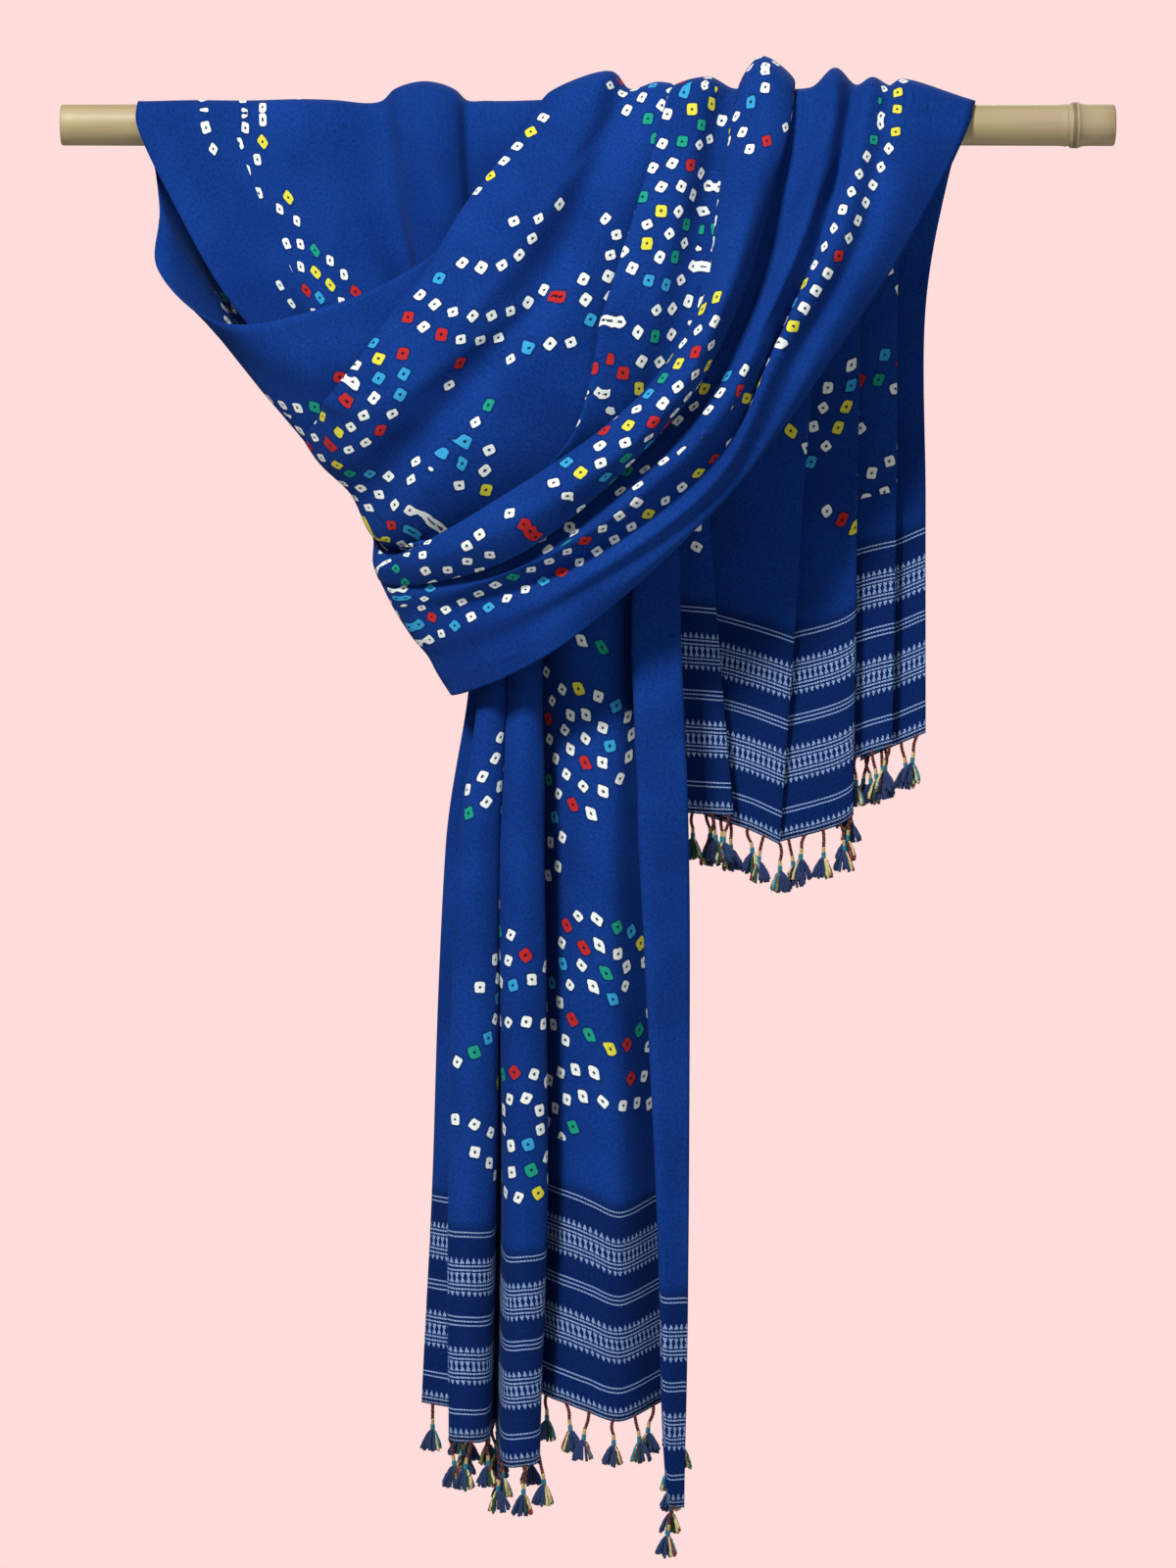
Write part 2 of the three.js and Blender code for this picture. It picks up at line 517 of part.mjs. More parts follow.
add('rod', rodGeometry(), bambooMaterial);
add('back_fall', wallOf(trimmed(backNet, 4 * CLOTH.seam, 0), backNormals), clothMaterial());
add('swag_front', wallOf(trimmed(swagNet, CLOTH.seam, CLOTH.turnSeam), swagNormals), clothMaterial());
add('swag_back', wallOf(trimmed(riseNet, CLOTH.turnSeam, CLOTH.seam), riseNormals), clothMaterial());
add('front_fall', wallOf(trimmed(fallNet, CLOTH.seam, 0), fallNormals), clothMaterial());
add('fringe_back', fringeOf(backNet.at(-1), backNormals.at(-1)), yarnMaterial());
add('fringe_front', fringeOf(fallNet.at(-1), fallNormals.at(-1)), yarnMaterial());

export default shawl;
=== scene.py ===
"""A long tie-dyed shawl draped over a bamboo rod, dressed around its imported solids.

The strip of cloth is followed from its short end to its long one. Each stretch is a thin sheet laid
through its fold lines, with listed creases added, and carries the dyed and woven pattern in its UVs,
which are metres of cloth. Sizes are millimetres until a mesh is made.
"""

from __future__ import annotations

import logging
import math
from collections.abc import Iterable
from dataclasses import dataclass, field
from enum import Enum

import bpy
import numpy as np
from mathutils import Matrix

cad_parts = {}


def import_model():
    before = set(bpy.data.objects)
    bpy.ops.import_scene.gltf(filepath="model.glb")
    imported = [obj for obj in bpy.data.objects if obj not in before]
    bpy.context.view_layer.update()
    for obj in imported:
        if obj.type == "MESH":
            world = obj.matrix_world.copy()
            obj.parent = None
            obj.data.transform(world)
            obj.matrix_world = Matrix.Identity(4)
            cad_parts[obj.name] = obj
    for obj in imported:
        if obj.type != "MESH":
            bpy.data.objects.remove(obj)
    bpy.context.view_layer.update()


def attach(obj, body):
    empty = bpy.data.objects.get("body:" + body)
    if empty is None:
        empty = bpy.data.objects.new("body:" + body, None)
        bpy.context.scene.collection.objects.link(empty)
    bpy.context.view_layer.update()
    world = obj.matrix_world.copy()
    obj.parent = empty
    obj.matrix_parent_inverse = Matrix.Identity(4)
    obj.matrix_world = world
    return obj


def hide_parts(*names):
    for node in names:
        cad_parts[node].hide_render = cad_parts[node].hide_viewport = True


LOG = logging.getLogger("shawl")
MM = 0.001
BODY = "root"
SEED = 4254

ROD_LENGTH = 698.0
ROD_RADIUS = 13.8
CLOTH_CLEAR = 1.2
CLOTH_WIDTH = 510.0
CLOTH_LENGTH = 2030.0
CLOTH_THICKNESS = 0.9
SHORT_END_LENGTH = 480.0
SWAG_LENGTH = 440.0
RISE_LENGTH = 230.0
LONG_END_LENGTH = 880.0
FLAT_ROWS = [30, 33, 20, 55]
FIRMNESS = [0.9, 1.0, 0.12, 1.0]

SEAM_ANGLE = -35.0
SEAM_LIFT = 0.8
SHOULDER_ANGLE = 48.0
FRONT_ANGLE = 92.0
BACK_ANGLE = -90.0
RISE_ANGLE = -85.0
RISE_LIFT = 1.0
ROD_RINGS = (322.0,)

TUCK_REACH = 0.6
TUCK_DROP_ON_ROD = 0.3
LEAST_LIFT = 1.0
DROP_FADE = {"turn": 0.35, "behind": 0.0}

EYE_DISTANCE = 3000.0
EYE_HEIGHT = -437.0
VIEW_HEIGHT = 1040.0

Lift = tuple[float, float]
Point = tuple[float, float, float]
Socket = bpy.types.NodeSocket
Feed = Socket | float | tuple
NUMBER = "NodeSocketFloat"
VECTOR = "NodeSocketVector"


class Side(Enum):
    """Which neighbour the edge of a fold lies over."""

    TOWARDS_A = "a"
    TOWARDS_B = "b"


class Yarn(Enum):
    """The yarns of a tassel, in the order of its material slots."""

    BLUE = 0
    RED = 1
    GREEN = 2
    CREAM = 3
    TURQUOISE = 4
    BLACK = 5
    GOLD = 6


class Draw(Enum):
    """What a chance is drawn for, with the number that sets it apart from the others."""

    CELL_ACROSS = 3.0
    CELL_ALONG = 7.0
    ROW_RUN = 11.5
    ROW_DOT = 4.5
    RING_RUN = 0.5
    RING_DOT = 0.25


# ------------------------------------------------------------------ fold tables


@dataclass(frozen=True)
class SwagFold:
    """One fold line of the swag, named for its place in the row.

    It has [x, lift] on the rod, then [x, z, out] at each station. The other fold tables are alike.
    """

    name: str
    top: Lift
    front: Lift
    upper: Point
    middle: Point
    lower: Point
    near: Point
    turn: Point
    behind: Point
    laps: Side | None = None
    lap: float = 0.0
    drop: float = 0.0


@dataclass(frozen=True)
class FallFold:
    """One fold line of the long end: [x, lift] on the rod, then [x, z, out] at each station."""

    name: str
    top: Lift
    front: Lift
    upper: Point
    middle: Point
    lower: Point
    cinch: Point
    chest: Point
    knee: Point
    hem: Point


@dataclass(frozen=True)
class BackFold:
    """One fold line of the short end: [x, lift] behind the rod, then [x, z, out] at each station."""

    name: str
    back: Lift
    upper: Point
    middle: Point
    hem: Point
    laps: Side | None = None
    lap: float = 0.0
    drop: float = 0.0


@dataclass(frozen=True)
class RiseFold:
    """One fold line behind everything, at its share of the way across: [x, z, out]."""

    share: float
    low: Point
    high: Point


@dataclass(frozen=True)
class Crease:
    """A soft trough (depth below 0) or ridge: shares across and along, and its size."""

    across_from: float
    across_to: float
    along_from: float
    along_to: float
    width: float
    depth: float


SWAG_FOLDS = (
    SwagFold("selvedge_a", (4, 5), (-14, 7), (-52, -36, 30), (-106, -88, 38), (-176, -121, 44),
             (-244, -131, 34), (-285, -94, 4), (-284, -62, -20)),
    SwagFold("edge_band", (-18, 7), (-37, 11), (-82, -55, 42), (-113, -106, 52), (-146, -148, 57),
             (-170, -178, 48), (-186, -202, 12), (-206, -176, -26), Side.TOWARDS_A, 16, 11),
    SwagFold("first_ridge", (16, 20), (-2, 20), (-26, -47, 58), (-62, -100, 68), (-98, -150, 72),
             (-143, -203, 56), (-175, -225, 12), (-192, -196, -28)),
    SwagFold("first_valley", (28, 9), (17, 9), (2, -43, 43), (-26, -105, 51), (-66, -158, 57),
             (-112, -208, 50), (-153, -247, 9), (-166, -216, -32)),
    SwagFold("second_ridge", (47, 14), (38, 16), (20, -48, 53), (-12, -108, 63), (-52, -172, 66),
             (-105, -236, 55), (-140, -273, 9), (-150, -240, -34)),
    SwagFold("third_edge", (61, 11), (48, 17), (33, -53, 56), (12, -118, 65), (-12, -208, 64),
             (-84, -268, 44), (-133, -277, 6), (-147, -247, -35), Side.TOWARDS_A, 11, 9),
    SwagFold("third_ridge", (81, 16), (72, 20), (56, -64, 62), (38, -130, 68), (14, -206, 56),
             (-66, -276, 38), (-131, -280, 4), (-145, -252, -36)),
    SwagFold("third_valley", (97, 9), (88, 9), (79, -51, 43), (70, -110, 56), (44, -188, 56),
             (-50, -270, 44), (-130, -283, 4), (-144, -257, -37)),
    SwagFold("great_edge", (103, 14), (95, 18), (86, -53, 62), (79, -108, 72), (34, -180, 80),
             (-66, -252, 72), (-132, -286, 13), (-143, -264, -35), Side.TOWARDS_A, 10, 9),
    SwagFold("great_crest", (115, 30), (118, 30), (107, -60, 80), (90, -115, 92), (46, -194, 98),
             (-58, -268, 84), (-138, -294, 15), (-142, -275, -34)),
    SwagFold("great_far_edge", (137, 13), (133, 20), (118, -60, 62), (99, -120, 74), (60, -190, 82),
             (-44, -284, 70), (-134, -304, 13), (-139, -284, -36), Side.TOWARDS_B, 10, 14),
    SwagFold("fifth_shoulder", (149, 9), (143, 13), (130, -54, 46), (109, -118, 60), (68, -192, 72),
             (-36, -288, 66), (-131, -309, 13), (-136, -289, -37)),
    SwagFold("fifth_crest", (164, 22), (160, 24), (143, -70, 66), (118, -130, 76), (82, -198, 84),
             (-18, -282, 75), (-128, -316, 13), (-132, -296, -39)),
    SwagFold("fifth_valley", (178, 11), (171, 12), (158, -62, 48), (133, -124, 58), (91, -214, 65),
             (-10, -293, 62), (-125, -323, 10), (-125, -303, -39)),
    SwagFold("margin_crest", (189, 16), (181, 20), (168, -70, 58), (128, -146, 70), (86, -234, 74),
             (-14, -306, 70), (-114, -341, 9), (-110, -318, -41)),
    SwagFold("margin_hollow", (200, 11), (194, 14), (182, -70, 48), (142, -148, 60), (92, -238, 66),
             (-17, -318, 65), (-104, -353, 8), (-98, -330, -40)),
    SwagFold("margin_second", (208, 15), (206, 15), (196, -68, 48), (153, -150, 58), (96, -242, 63),
             (-18, -332, 63), (-98, -365, 9), (-89, -342, -38)),
    SwagFold("selvedge_b", (257, 1), (252, 2), (221, -64, 34), (166, -148, 48), (95, -242, 56),
             (-18, -346, 58), (-90, -378, 10), (-76, -358, -34)),
)

FALL_FOLDS = (
    FallFold("selvedge_a", (-298, 1), (-298, 2), (-276, -50, 19), (-226, -132, 20), (-118, -225, 2),
             (-79, -337, -9), (-94, -479, -36), (-103, -690, -40), (-110, -847, -34)),
    FallFold("left_tuck", (-254, 1), (-254, 2), (-236, -50, 17), (-190, -132, 14), (-100, -225, -2),
             (-62, -337, -10), (-68, -479, -10), (-72, -690, -10), (-76, -856, -10)),
    FallFold("pleat_one_left", (-228, 1), (-228, 2), (-214, -50, 18), (-176, -132, 22), (-106, -225, 12),
             (-73, -338, 8), (-86, -479, 14), (-92, -690, 16), (-92, -872, 16)),
    FallFold("pleat_one_crest", (-204, 1), (-204, 2), (-191, -50, 18), (-156, -132, 24), (-95, -225, 17),
             (-65, -339, 15), (-74, -479, 22), (-78, -690, 24), (-80, -874, 22)),
    FallFold("pleat_one_right", (-168, 1), (-168, 2), (-158, -50, 17), (-130, -132, 20), (-84, -225, 13),
             (-57, -338, 11), (-60, -479, 14), (-63, -690, 15), (-68, -873, 14)),
    FallFold("gap_floor", (-138, 1), (-134, 2), (-128, -52, 14), (-108, -132, 10), (-78, -225, 2),
             (-58, -337, -16), (-59, -479, -30), (-60, -690, -30), (-62, -858, -26)),
    FallFold("pleat_two_left", (-128, 9), (-124, 11), (-118, -52, 26), (-104, -132, 26), (-72, -225, 20),
             (-54, -338, 11), (-57, -479, 14), (-55, -690, 15), (-56, -889, 14)),
    FallFold("pleat_two_crest", (-108, 13), (-106, 15), (-102, -52, 31), (-92, -132, 32), (-62, -225, 26),
             (-43, -340, 20), (-44, -479, 23), (-42, -690, 24), (-45, -890, 22)),
    FallFold("pleat_two_right", (-89, 8), (-88, 10), (-86, -52, 25), (-78, -132, 27), (-50, -225, 21),
             (-32, -338, 12), (-30, -479, 14), (-28, -690, 15), (-33, -886, 14)),
    FallFold("belly_left", (-80, 1), (-80, 2), (-78, -52, 17), (-70, -132, 12), (-46, -225, 5),
             (-40, -345, -16), (-40, -479, -30), (-40, -690, -32), (-44, -838, -30)),
    FallFold("belly_shoulder", (-68, 1), (-67, 2), (-62, -52, 17), (-53, -132, 15), (-32, -225, 9),
             (-20, -346, -4), (-14, -479, -3), (-12, -690, -3), (-20, -846, -4)),
    FallFold("belly_middle", (-56, 1), (-54, 2), (-46, -52, 18), (-36, -132, 18), (-18, -225, 12),
             (-8, -347, 2), (0, -479, 3), (4, -690, 3), (-2, -853, 2)),
    FallFold("belly_right", (-30, 1), (-26, 2), (-16, -52, 17), (-4, -132, 17), (12, -225, 10),
             (14, -347, 2), (15, -479, 2), (20, -690, 2), (20, -860, 1)),
    FallFold("margin_tuck", (-10, 1), (-6, 2), (8, -52, 15), (22, -132, 12), (38, -225, 4),
             (40, -345, -10), (46, -479, -17), (54, -690, -28), (58, -846, -26)),
    FallFold("margin_edge", (2, 1), (4, 3), (12, -52, 21), (20, -132, 24), (30, -225, 20),
             (30, -348, 16), (35, -479, 20), (45, -690, 20), (53, -916, 18)),
    FallFold("selvedge_b", (14, 1), (18, 4), (32, -52, 22), (44, -132, 26), (58, -225, 22),
             (62, -347, 14), (67, -479, 14), (67, -690, 14), (64, -917, 13)),
)

BACK_FOLDS = (
    BackFold("selvedge_a", (8, 4), (14, -110, -31), (22, -250, -29), (28, -452, -27)),
    BackFold("first_crest", (44, 6), (50, -110, -29), (56, -250, -26), (62, -456, -24)),
    BackFold("first_edge", (78, 5), (74, -110, -29), (79, -250, -27), (96, -458, -25),
             Side.TOWARDS_B, 30, 13),
    BackFold("second_crest", (106, 8), (112, -110, -39), (108, -250, -36), (108, -468, -34)),
    BackFold("second_edge", (140, 6), (148, -110, -39), (142, -250, -36), (127, -477, -34)),
    BackFold("second_under", (128, 5), (134, -110, -47), (130, -250, -45), (126, -476, -38)),
    BackFold("third_edge", (176, 6), (180, -110, -47), (178, -250, -45), (175, -458, -43)),
    BackFold("third_under", (160, 5), (160, -110, -58), (158, -250, -57), (166, -428, -57)),
    BackFold("fourth_edge", (212, 5), (205, -110, -56), (204, -250, -54), (202, -412, -52),
             Side.TOWARDS_B, 24, 13),
    BackFold("selvedge_b", (250, 3), (225, -110, -66), (224, -250, -63), (224, -403, -61)),
)

RISE_FOLDS = (
    RiseFold(0.0, (-284, -52, -27), (-288, -24, -24)),
    RiseFold(0.09, (-240, -104, -58), (-254, -50, -44)),
    RiseFold(0.19, (-202, -140, -28), (-220, -70, -24)),
    RiseFold(0.29, (-176, -166, -60), (-190, -82, -46)),
    RiseFold(0.39, (-152, -184, -30), (-160, -94, -26)),
    RiseFold(0.5, (-134, -204, -62), (-134, -104, -46)),
    RiseFold(0.6, (-118, -214, -32), (-108, -110, -26)),
    RiseFold(0.7, (-102, -230, -64), (-80, -118, -46)),
    RiseFold(0.79, (-88, -244, -34), (-56, -124, -26)),
    RiseFold(0.87, (-74, -262, -64), (-34, -132, -44)),
    RiseFold(0.94, (-60, -274, -38), (-18, -140, -26)),
    RiseFold(1.0, (-44, -286, -56), (-4, -146, -38)),
)

# ------------------------------------------------------------------ laying cloth


def sighted(point: Point) -> np.ndarray:
    """Moves a point of the front elevation along its line of sight to its distance out.

    Args:
        point: x, z and the distance out of the rod's plane towards the viewer.

    Returns:
        The point in space.
    """
    x, z, out = point
    near = 1.0 - out / EYE_DISTANCE
    return np.array((x * near, -out, EYE_HEIGHT + (z - EYE_HEIGHT) * near))


def over_rod(x: float, lift: float, degrees: float) -> np.ndarray:
    """Gives a point on cloth that crosses the rod.

    Args:
        x: place along the rod.
        lift: height of the fold above flat cloth.
        degrees: angle from the rod's top towards the viewer.

    Returns:
        The point in space.
    """
    angle = math.radians(degrees)
    radius = ROD_RADIUS + CLOTH_CLEAR + lift
    return np.array((x, -radius * math.sin(angle), radius * math.cos(angle)))


def smooth_run(points: np.ndarray, places: np.ndarray) -> np.ndarray:
    """Reads a centripetal Catmull-Rom curve, or many side by side.

    Args:
        points: the control points, along the first axis.
        places: where to read, 0 at the first point and 1 more at each next one.

    Returns:
        The points read, with the places along the first axis.
    """
    first = 2 * points[0] - points[1]
    last = 2 * points[-1] - points[-2]
    padded = np.concatenate([first[None], points, last[None]])
    leg = np.clip(np.floor(places).astype(int), 0, len(points) - 2)
    share = (places - leg).reshape((-1,) + (1,) * (points.ndim - 1))
    p0, p1, p2, p3 = (padded[leg + step] for step in range(4))

    def reach(start: np.ndarray, end: np.ndarray) -> np.ndarray:
        """The knot distance of a centripetal curve."""
        return np.maximum(np.linalg.norm(end - start, axis=-1, keepdims=True) ** 0.5, 1e-3)

    d0, d1, d2 = reach(p0, p1), reach(p1, p2), reach(p2, p3)
    m1 = ((p1 - p0) / d0 - (p2 - p0) / (d0 + d1) + (p2 - p1) / d1) * d1
    m2 = ((p2 - p1) / d1 - (p3 - p1) / (d1 + d2) + (p3 - p2) / d2) * d1
    cubic = 2 * p1 - 2 * p2 + m1 + m2
    square = 3 * p2 - 3 * p1 - 2 * m1 - m2
    return ((cubic * share + square) * share + m1) * share + p1


def spread(count: int, steps: int) -> np.ndarray:
    """Even places along a curve of so many points, with steps between each pair."""
    return np.linspace(0, count - 1, (count - 1) * steps + 1)


def with_tucks(rows: tuple, rod_names: tuple[str, ...], free_names: tuple[str, ...]) -> list[dict]:
    """Adds to each lapping row the hidden line where its cloth turns back beneath it.

    Args:
        rows: the fold table, selvedge a first.
        rod_names: the columns that hold a place on the rod.
        free_names: the columns that hold a point of the front elevation.

    Returns:
        One dictionary of columns for each fold line and each tuck.
    """
    lines: list[dict] = []
    for index, row in enumerate(rows):
        plain = {name: getattr(row, name) for name in rod_names + free_names}
        if row.laps is None:
            lines.append(plain)
            continue
        inward = rows[index + 1] if row.laps is Side.TOWARDS_A else rows[index - 1]
        tuck: dict = {}
        for name in rod_names:
            x, lift = getattr(row, name)
            way = getattr(inward, name)[0] - x
            shift = min(row.lap, TUCK_REACH * abs(way))
            lower = max(LEAST_LIFT, lift - TUCK_DROP_ON_ROD * row.drop)
            tuck[name] = (x + math.copysign(shift, way), lower)
        for name in free_names:
            x, z, out = getattr(row, name)
            way_x, way_z = getattr(inward, name)[0] - x, getattr(inward, name)[1] - z
            far = math.hypot(way_x, way_z)
            step = min(row.lap, TUCK_REACH * far) / far
            drop = row.drop * DROP_FADE.get(name, 1.0)
            tuck[name] = (x + way_x * step, z + way_z * step, out - drop)
        lines.extend([tuck, plain] if row.laps is Side.TOWARDS_A else [plain, tuck])
    return lines


def round_the_rod(top: Lift, front: Lift) -> list[np.ndarray]:
    """Brings a fold line over the rod to the viewer's side.

    Args:
        top: its place along the rod and its lift on top.
        front: the same in front.

    Returns:
        Its four points, from the seam behind the rod's top to the front.
    """
    half = ((top[0] + front[0]) / 2, (top[1] + front[1]) / 2)
    return [
        over_rod(top[0], SEAM_LIFT * top[1], SEAM_ANGLE),
        over_rod(top[0], top[1], 0.0),
        over_rod(half[0], half[1], SHOULDER_ANGLE),
        over_rod(front[0], front[1], FRONT_ANGLE),
    ]


def net_through(lines: np.ndarray, across: int, along: int) -> np.ndarray:
    """Lays a net through fold lines.

    Args:
        lines: fold lines by stations by 3.
        across: steps between two fold lines.
        along: steps between two stations.

    Returns:
        Stations by fold steps by 3.
    """
    stations = np.swapaxes(lines, 0, 1)
    runs = smooth_run(stations, spread(len(stations), along))
    sections = smooth_run(np.swapaxes(runs, 0, 1), spread(len(lines), across))
    return np.swapaxes(sections, 0, 1)


def section_at(points: np.ndarray, count: int) -> np.ndarray:
    """Reads a section at an even number of shares of its fold lines."""
    return smooth_run(points, np.linspace(0, len(points) - 1, count))


def unit(vectors: np.ndarray) -> np.ndarray:
    """The vectors, each brought to a length of 1."""
    return vectors / np.maximum(np.linalg.norm(vectors, axis=-1, keepdims=True), 1e-9)


def normals_of(net: np.ndarray) -> np.ndarray:
    """The unit normals of a net, towards the viewer's side where it hangs in front."""
    return unit(np.cross(np.gradient(net, axis=1), np.gradient(net, axis=0)))


def lengths_along(net: np.ndarray, axis: int) -> np.ndarray:
    """Measures the cloth from a net's first line to each of its points.

    Args:
        net: rows by columns by 3.
        axis: 0 to measure down the columns, 1 to measure along the rows.

    Returns:
        The lengths, rows by columns.
    """
    steps = np.linalg.norm(np.diff(net, axis=axis), axis=-1)
    pad = [(0, 0), (0, 0)]
    pad[axis] = (1, 0)
    return np.cumsum(np.pad(steps, pad), axis=axis)


# ------------------------------------------------------------------ wiring shader nodes


class Wiring:
    """Short hand for adding and joining the nodes of one tree."""

    def __init__(self, tree: bpy.types.NodeTree) -> None:
        """Keeps the tree.

        Args:
            tree: the node tree to fill.
        """
        self.tree = tree

    def add(self, kind: str, **settings: object) -> bpy.types.Node:
        """Adds a node and sets its properties.

        Args:
            kind: the node's type.
            settings: its properties by name.

        Returns:
            The node.
        """
        node = self.tree.nodes.new(kind)
        for name, value in settings.items():
            setattr(node, name, value)
        return node

    def feed(self, socket: Socket, value: Feed) -> None:
        """Links a socket into an input, or sets the input's own value.

        Args:
            socket: the input.
            value: the socket or the plain value that it takes.
        """
        if isinstance(value, bpy.types.NodeSocket):
            self.tree.links.new(value, socket)
        else:
            socket.default_value = value

    def feed_all(self, sockets: Iterable[Socket], values: Iterable[Feed]) -> None:
        """Feeds inputs in their order, as many as there are values.

        Args:
            sockets: the inputs.
            values: what they take.
        """
        for socket, value in zip(sockets, values):
            self.feed(socket, value)

    def math(self, operation: str, *values: Feed, clamp: bool = False) -> Socket:
        """Adds a Math node.

        Args:
            operation: what it works out.
            values: its inputs.
            clamp: whether its result is kept between 0 and 1.

        Returns:
            Its result.
        """
        node = self.add("ShaderNodeMath", operation=operation, use_clamp=clamp)
        self.feed_all(node.inputs, values)
        return node.outputs[0]

    def times(self, first: Feed, second: Feed) -> Socket:
        """One value times another."""
        return self.math("MULTIPLY", first, second)

    def plus(self, first: Feed, second: Feed) -> Socket:
        """One value plus another."""
        return self.math("ADD", first, second)

    def minus(self, first: Feed, second: Feed) -> Socket:
        """One value less another."""
        return self.math("SUBTRACT", first, second)

    def over(self, first: Feed, second: Feed) -> Socket:
        """One value divided by another."""
        return self.math("DIVIDE", first, second)

    def most(self, first: Feed, second: Feed) -> Socket:
        """The larger of two values."""
        return self.math("MAXIMUM", first, second)

    def size(self, value: Feed) -> Socket:
        """A value without its sign."""
        return self.math("ABSOLUTE", value)

    def vector(self, operation: str, *values: Feed) -> Socket:
        """Adds a Vector Math node.

        Args:
            operation: what it works out.
            values: its inputs.

        Returns:
            Its vector.
        """
        node = self.add("ShaderNodeVectorMath", operation=operation)
        self.feed_all(node.inputs, values)
        return node.outputs[0]

    def split(self, vector: Feed) -> tuple[Socket, Socket, Socket]:
        """Parts a vector.

        Args:
            vector: the vector.

        Returns:
            Its x, y and z.
        """
        node = self.add("ShaderNodeSeparateXYZ")
        self.feed(node.inputs[0], vector)
        return node.outputs[0], node.outputs[1], node.outputs[2]

    def join(self, x: Feed, y: Feed, z: Feed = 0.0) -> Socket:
        """Makes a vector.

        Args:
            x: its first value.
            y: its second value.
            z: its third value.

        Returns:
            The vector.
        """
        node = self.add("ShaderNodeCombineXYZ")
        self.feed_all(node.inputs, (x, y, z))
        return node.outputs[0]

    def chance(self, x: Feed, y: Feed, z: Feed) -> Socket:
        """Draws a number that is fixed for each three whole numbers.

        Args:
            x: the first of them.
            y: the second.
            z: the third, or a seed.

        Returns:
            The number, from 0 to 1.
        """
        node = self.add("ShaderNodeTexWhiteNoise", noise_dimensions="3D")
        self.feed(node.inputs["Vector"], self.join(x, y, z))
        return node.outputs["Value"]

    def noise(self, vector: Feed, scale: Feed, detail: Feed = 2.0, output: str = "Fac") -> Socket:
        """Adds a soft noise.

        Args:
            vector: where it is read.
            scale: how fine it is.
            detail: how many finer layers it has.
            output: "Fac" for a value or "Color" for three.

        Returns:
            The noise, from 0 to 1.
        """
        node = self.add("ShaderNodeTexNoise", noise_dimensions="3D")
        self.feed(node.inputs["Vector"], vector)
        self.feed(node.inputs["Scale"], scale)
        self.feed(node.inputs["Detail"], detail)
        return node.outputs[output]

    def ramp(self, value: Feed, low: Feed, high: Feed, out_low: Feed = 0.0,
             out_high: Feed = 1.0) -> Socket:
        """Adds a smooth step.

        Args:
            value: what is stepped.
            low: where the step starts.
            high: where it ends.
            out_low: its result below the start.
            out_high: its result above the end.

        Returns:
            The result.
        """
        node = self.add("ShaderNodeMapRange", interpolation_type="SMOOTHSTEP")
        names = ("Value", "From Min", "From Max", "To Min", "To Max")
        self.feed_all((node.inputs[name] for name in names), (value, low, high, out_low, out_high))
        return node.outputs["Result"]

    def mix(self, factor: Feed, first: Feed, second: Feed, blend: str = "MIX") -> Socket:
        """Mixes two colours.

        Args:
            factor: how much of the second there is.
            first: one colour.
            second: the other.
            blend: how they mix.

        Returns:
            The colour.
        """
        node = self.add("ShaderNodeMix", data_type="RGBA", blend_type=blend)
        self.feed_all((node.inputs[0], node.inputs[6], node.inputs[7]), (factor, first, second))
        return node.outputs[2]

    def toned(self, colour: Feed, tone: Feed) -> Socket:
        """A colour made darker or paler by a value."""
        return self.mix(1.0, colour, self.join(tone, tone, tone), "MULTIPLY")

    def bump(self, height: Feed, distance: float, strength: float = 1.0) -> Socket:
        """Turns a height into a normal.

        Args:
            height: the height, about 0 to 1.
            distance: how far 1 stands out, in metres.
            strength: how much of it shows.

        Returns:
            The normal.
        """
        node = self.add("ShaderNodeBump")
        names = ("Strength", "Distance", "Height")
        self.feed_all((node.inputs[name] for name in names), (strength, distance, height))
        return node.outputs["Normal"]

    def place(self, group: bpy.types.NodeTree, **values: Feed) -> bpy.types.Node:
        """Places a node group.

        Args:
            group: the group.
            values: what its inputs take, by name.

        Returns:
            The placed node.
        """
        node = self.add("ShaderNodeGroup", node_tree=group)
        for name, value in values.items():
            self.feed(node.inputs[name], value)
        return node


def new_group(name: str, inputs: dict[str, str],
              outputs: dict[str, str]) -> tuple[Wiring, dict[str, Socket], dict[str, Socket]]:
    """Starts a shader node group.

    Args:
        name: the group's name.
        inputs: socket kinds by name.
        outputs: socket kinds by name.

    Returns:
        Its wiring, the sockets that its inputs give, and the sockets that its outputs take.
    """
    tree = bpy.data.node_groups.new(name, "ShaderNodeTree")
    for label, kind in inputs.items():
        tree.interface.new_socket(label, in_out="INPUT", socket_type=kind)
    for label, kind in outputs.items():
        tree.interface.new_socket(label, in_out="OUTPUT", socket_type=kind)
    given = tree.nodes.new("NodeGroupInput").outputs
    taken = tree.nodes.new("NodeGroupOutput").inputs
    return (Wiring(tree), {label: given[label] for label in inputs},
            {label: taken[label] for label in outputs})


def new_material(name: str) -> tuple[bpy.types.Material, Wiring, bpy.types.NodeInputs]:
    """Starts a material on Blender's own first shader.

    Args:
        name: the material's name.

    Returns:
        The material, its wiring and its shader's inputs.
    """
    material = bpy.data.materials.new(name)
    material.use_nodes = True
    return material, Wiring(material.node_tree), material.node_tree.nodes["Principled BSDF"].inputs


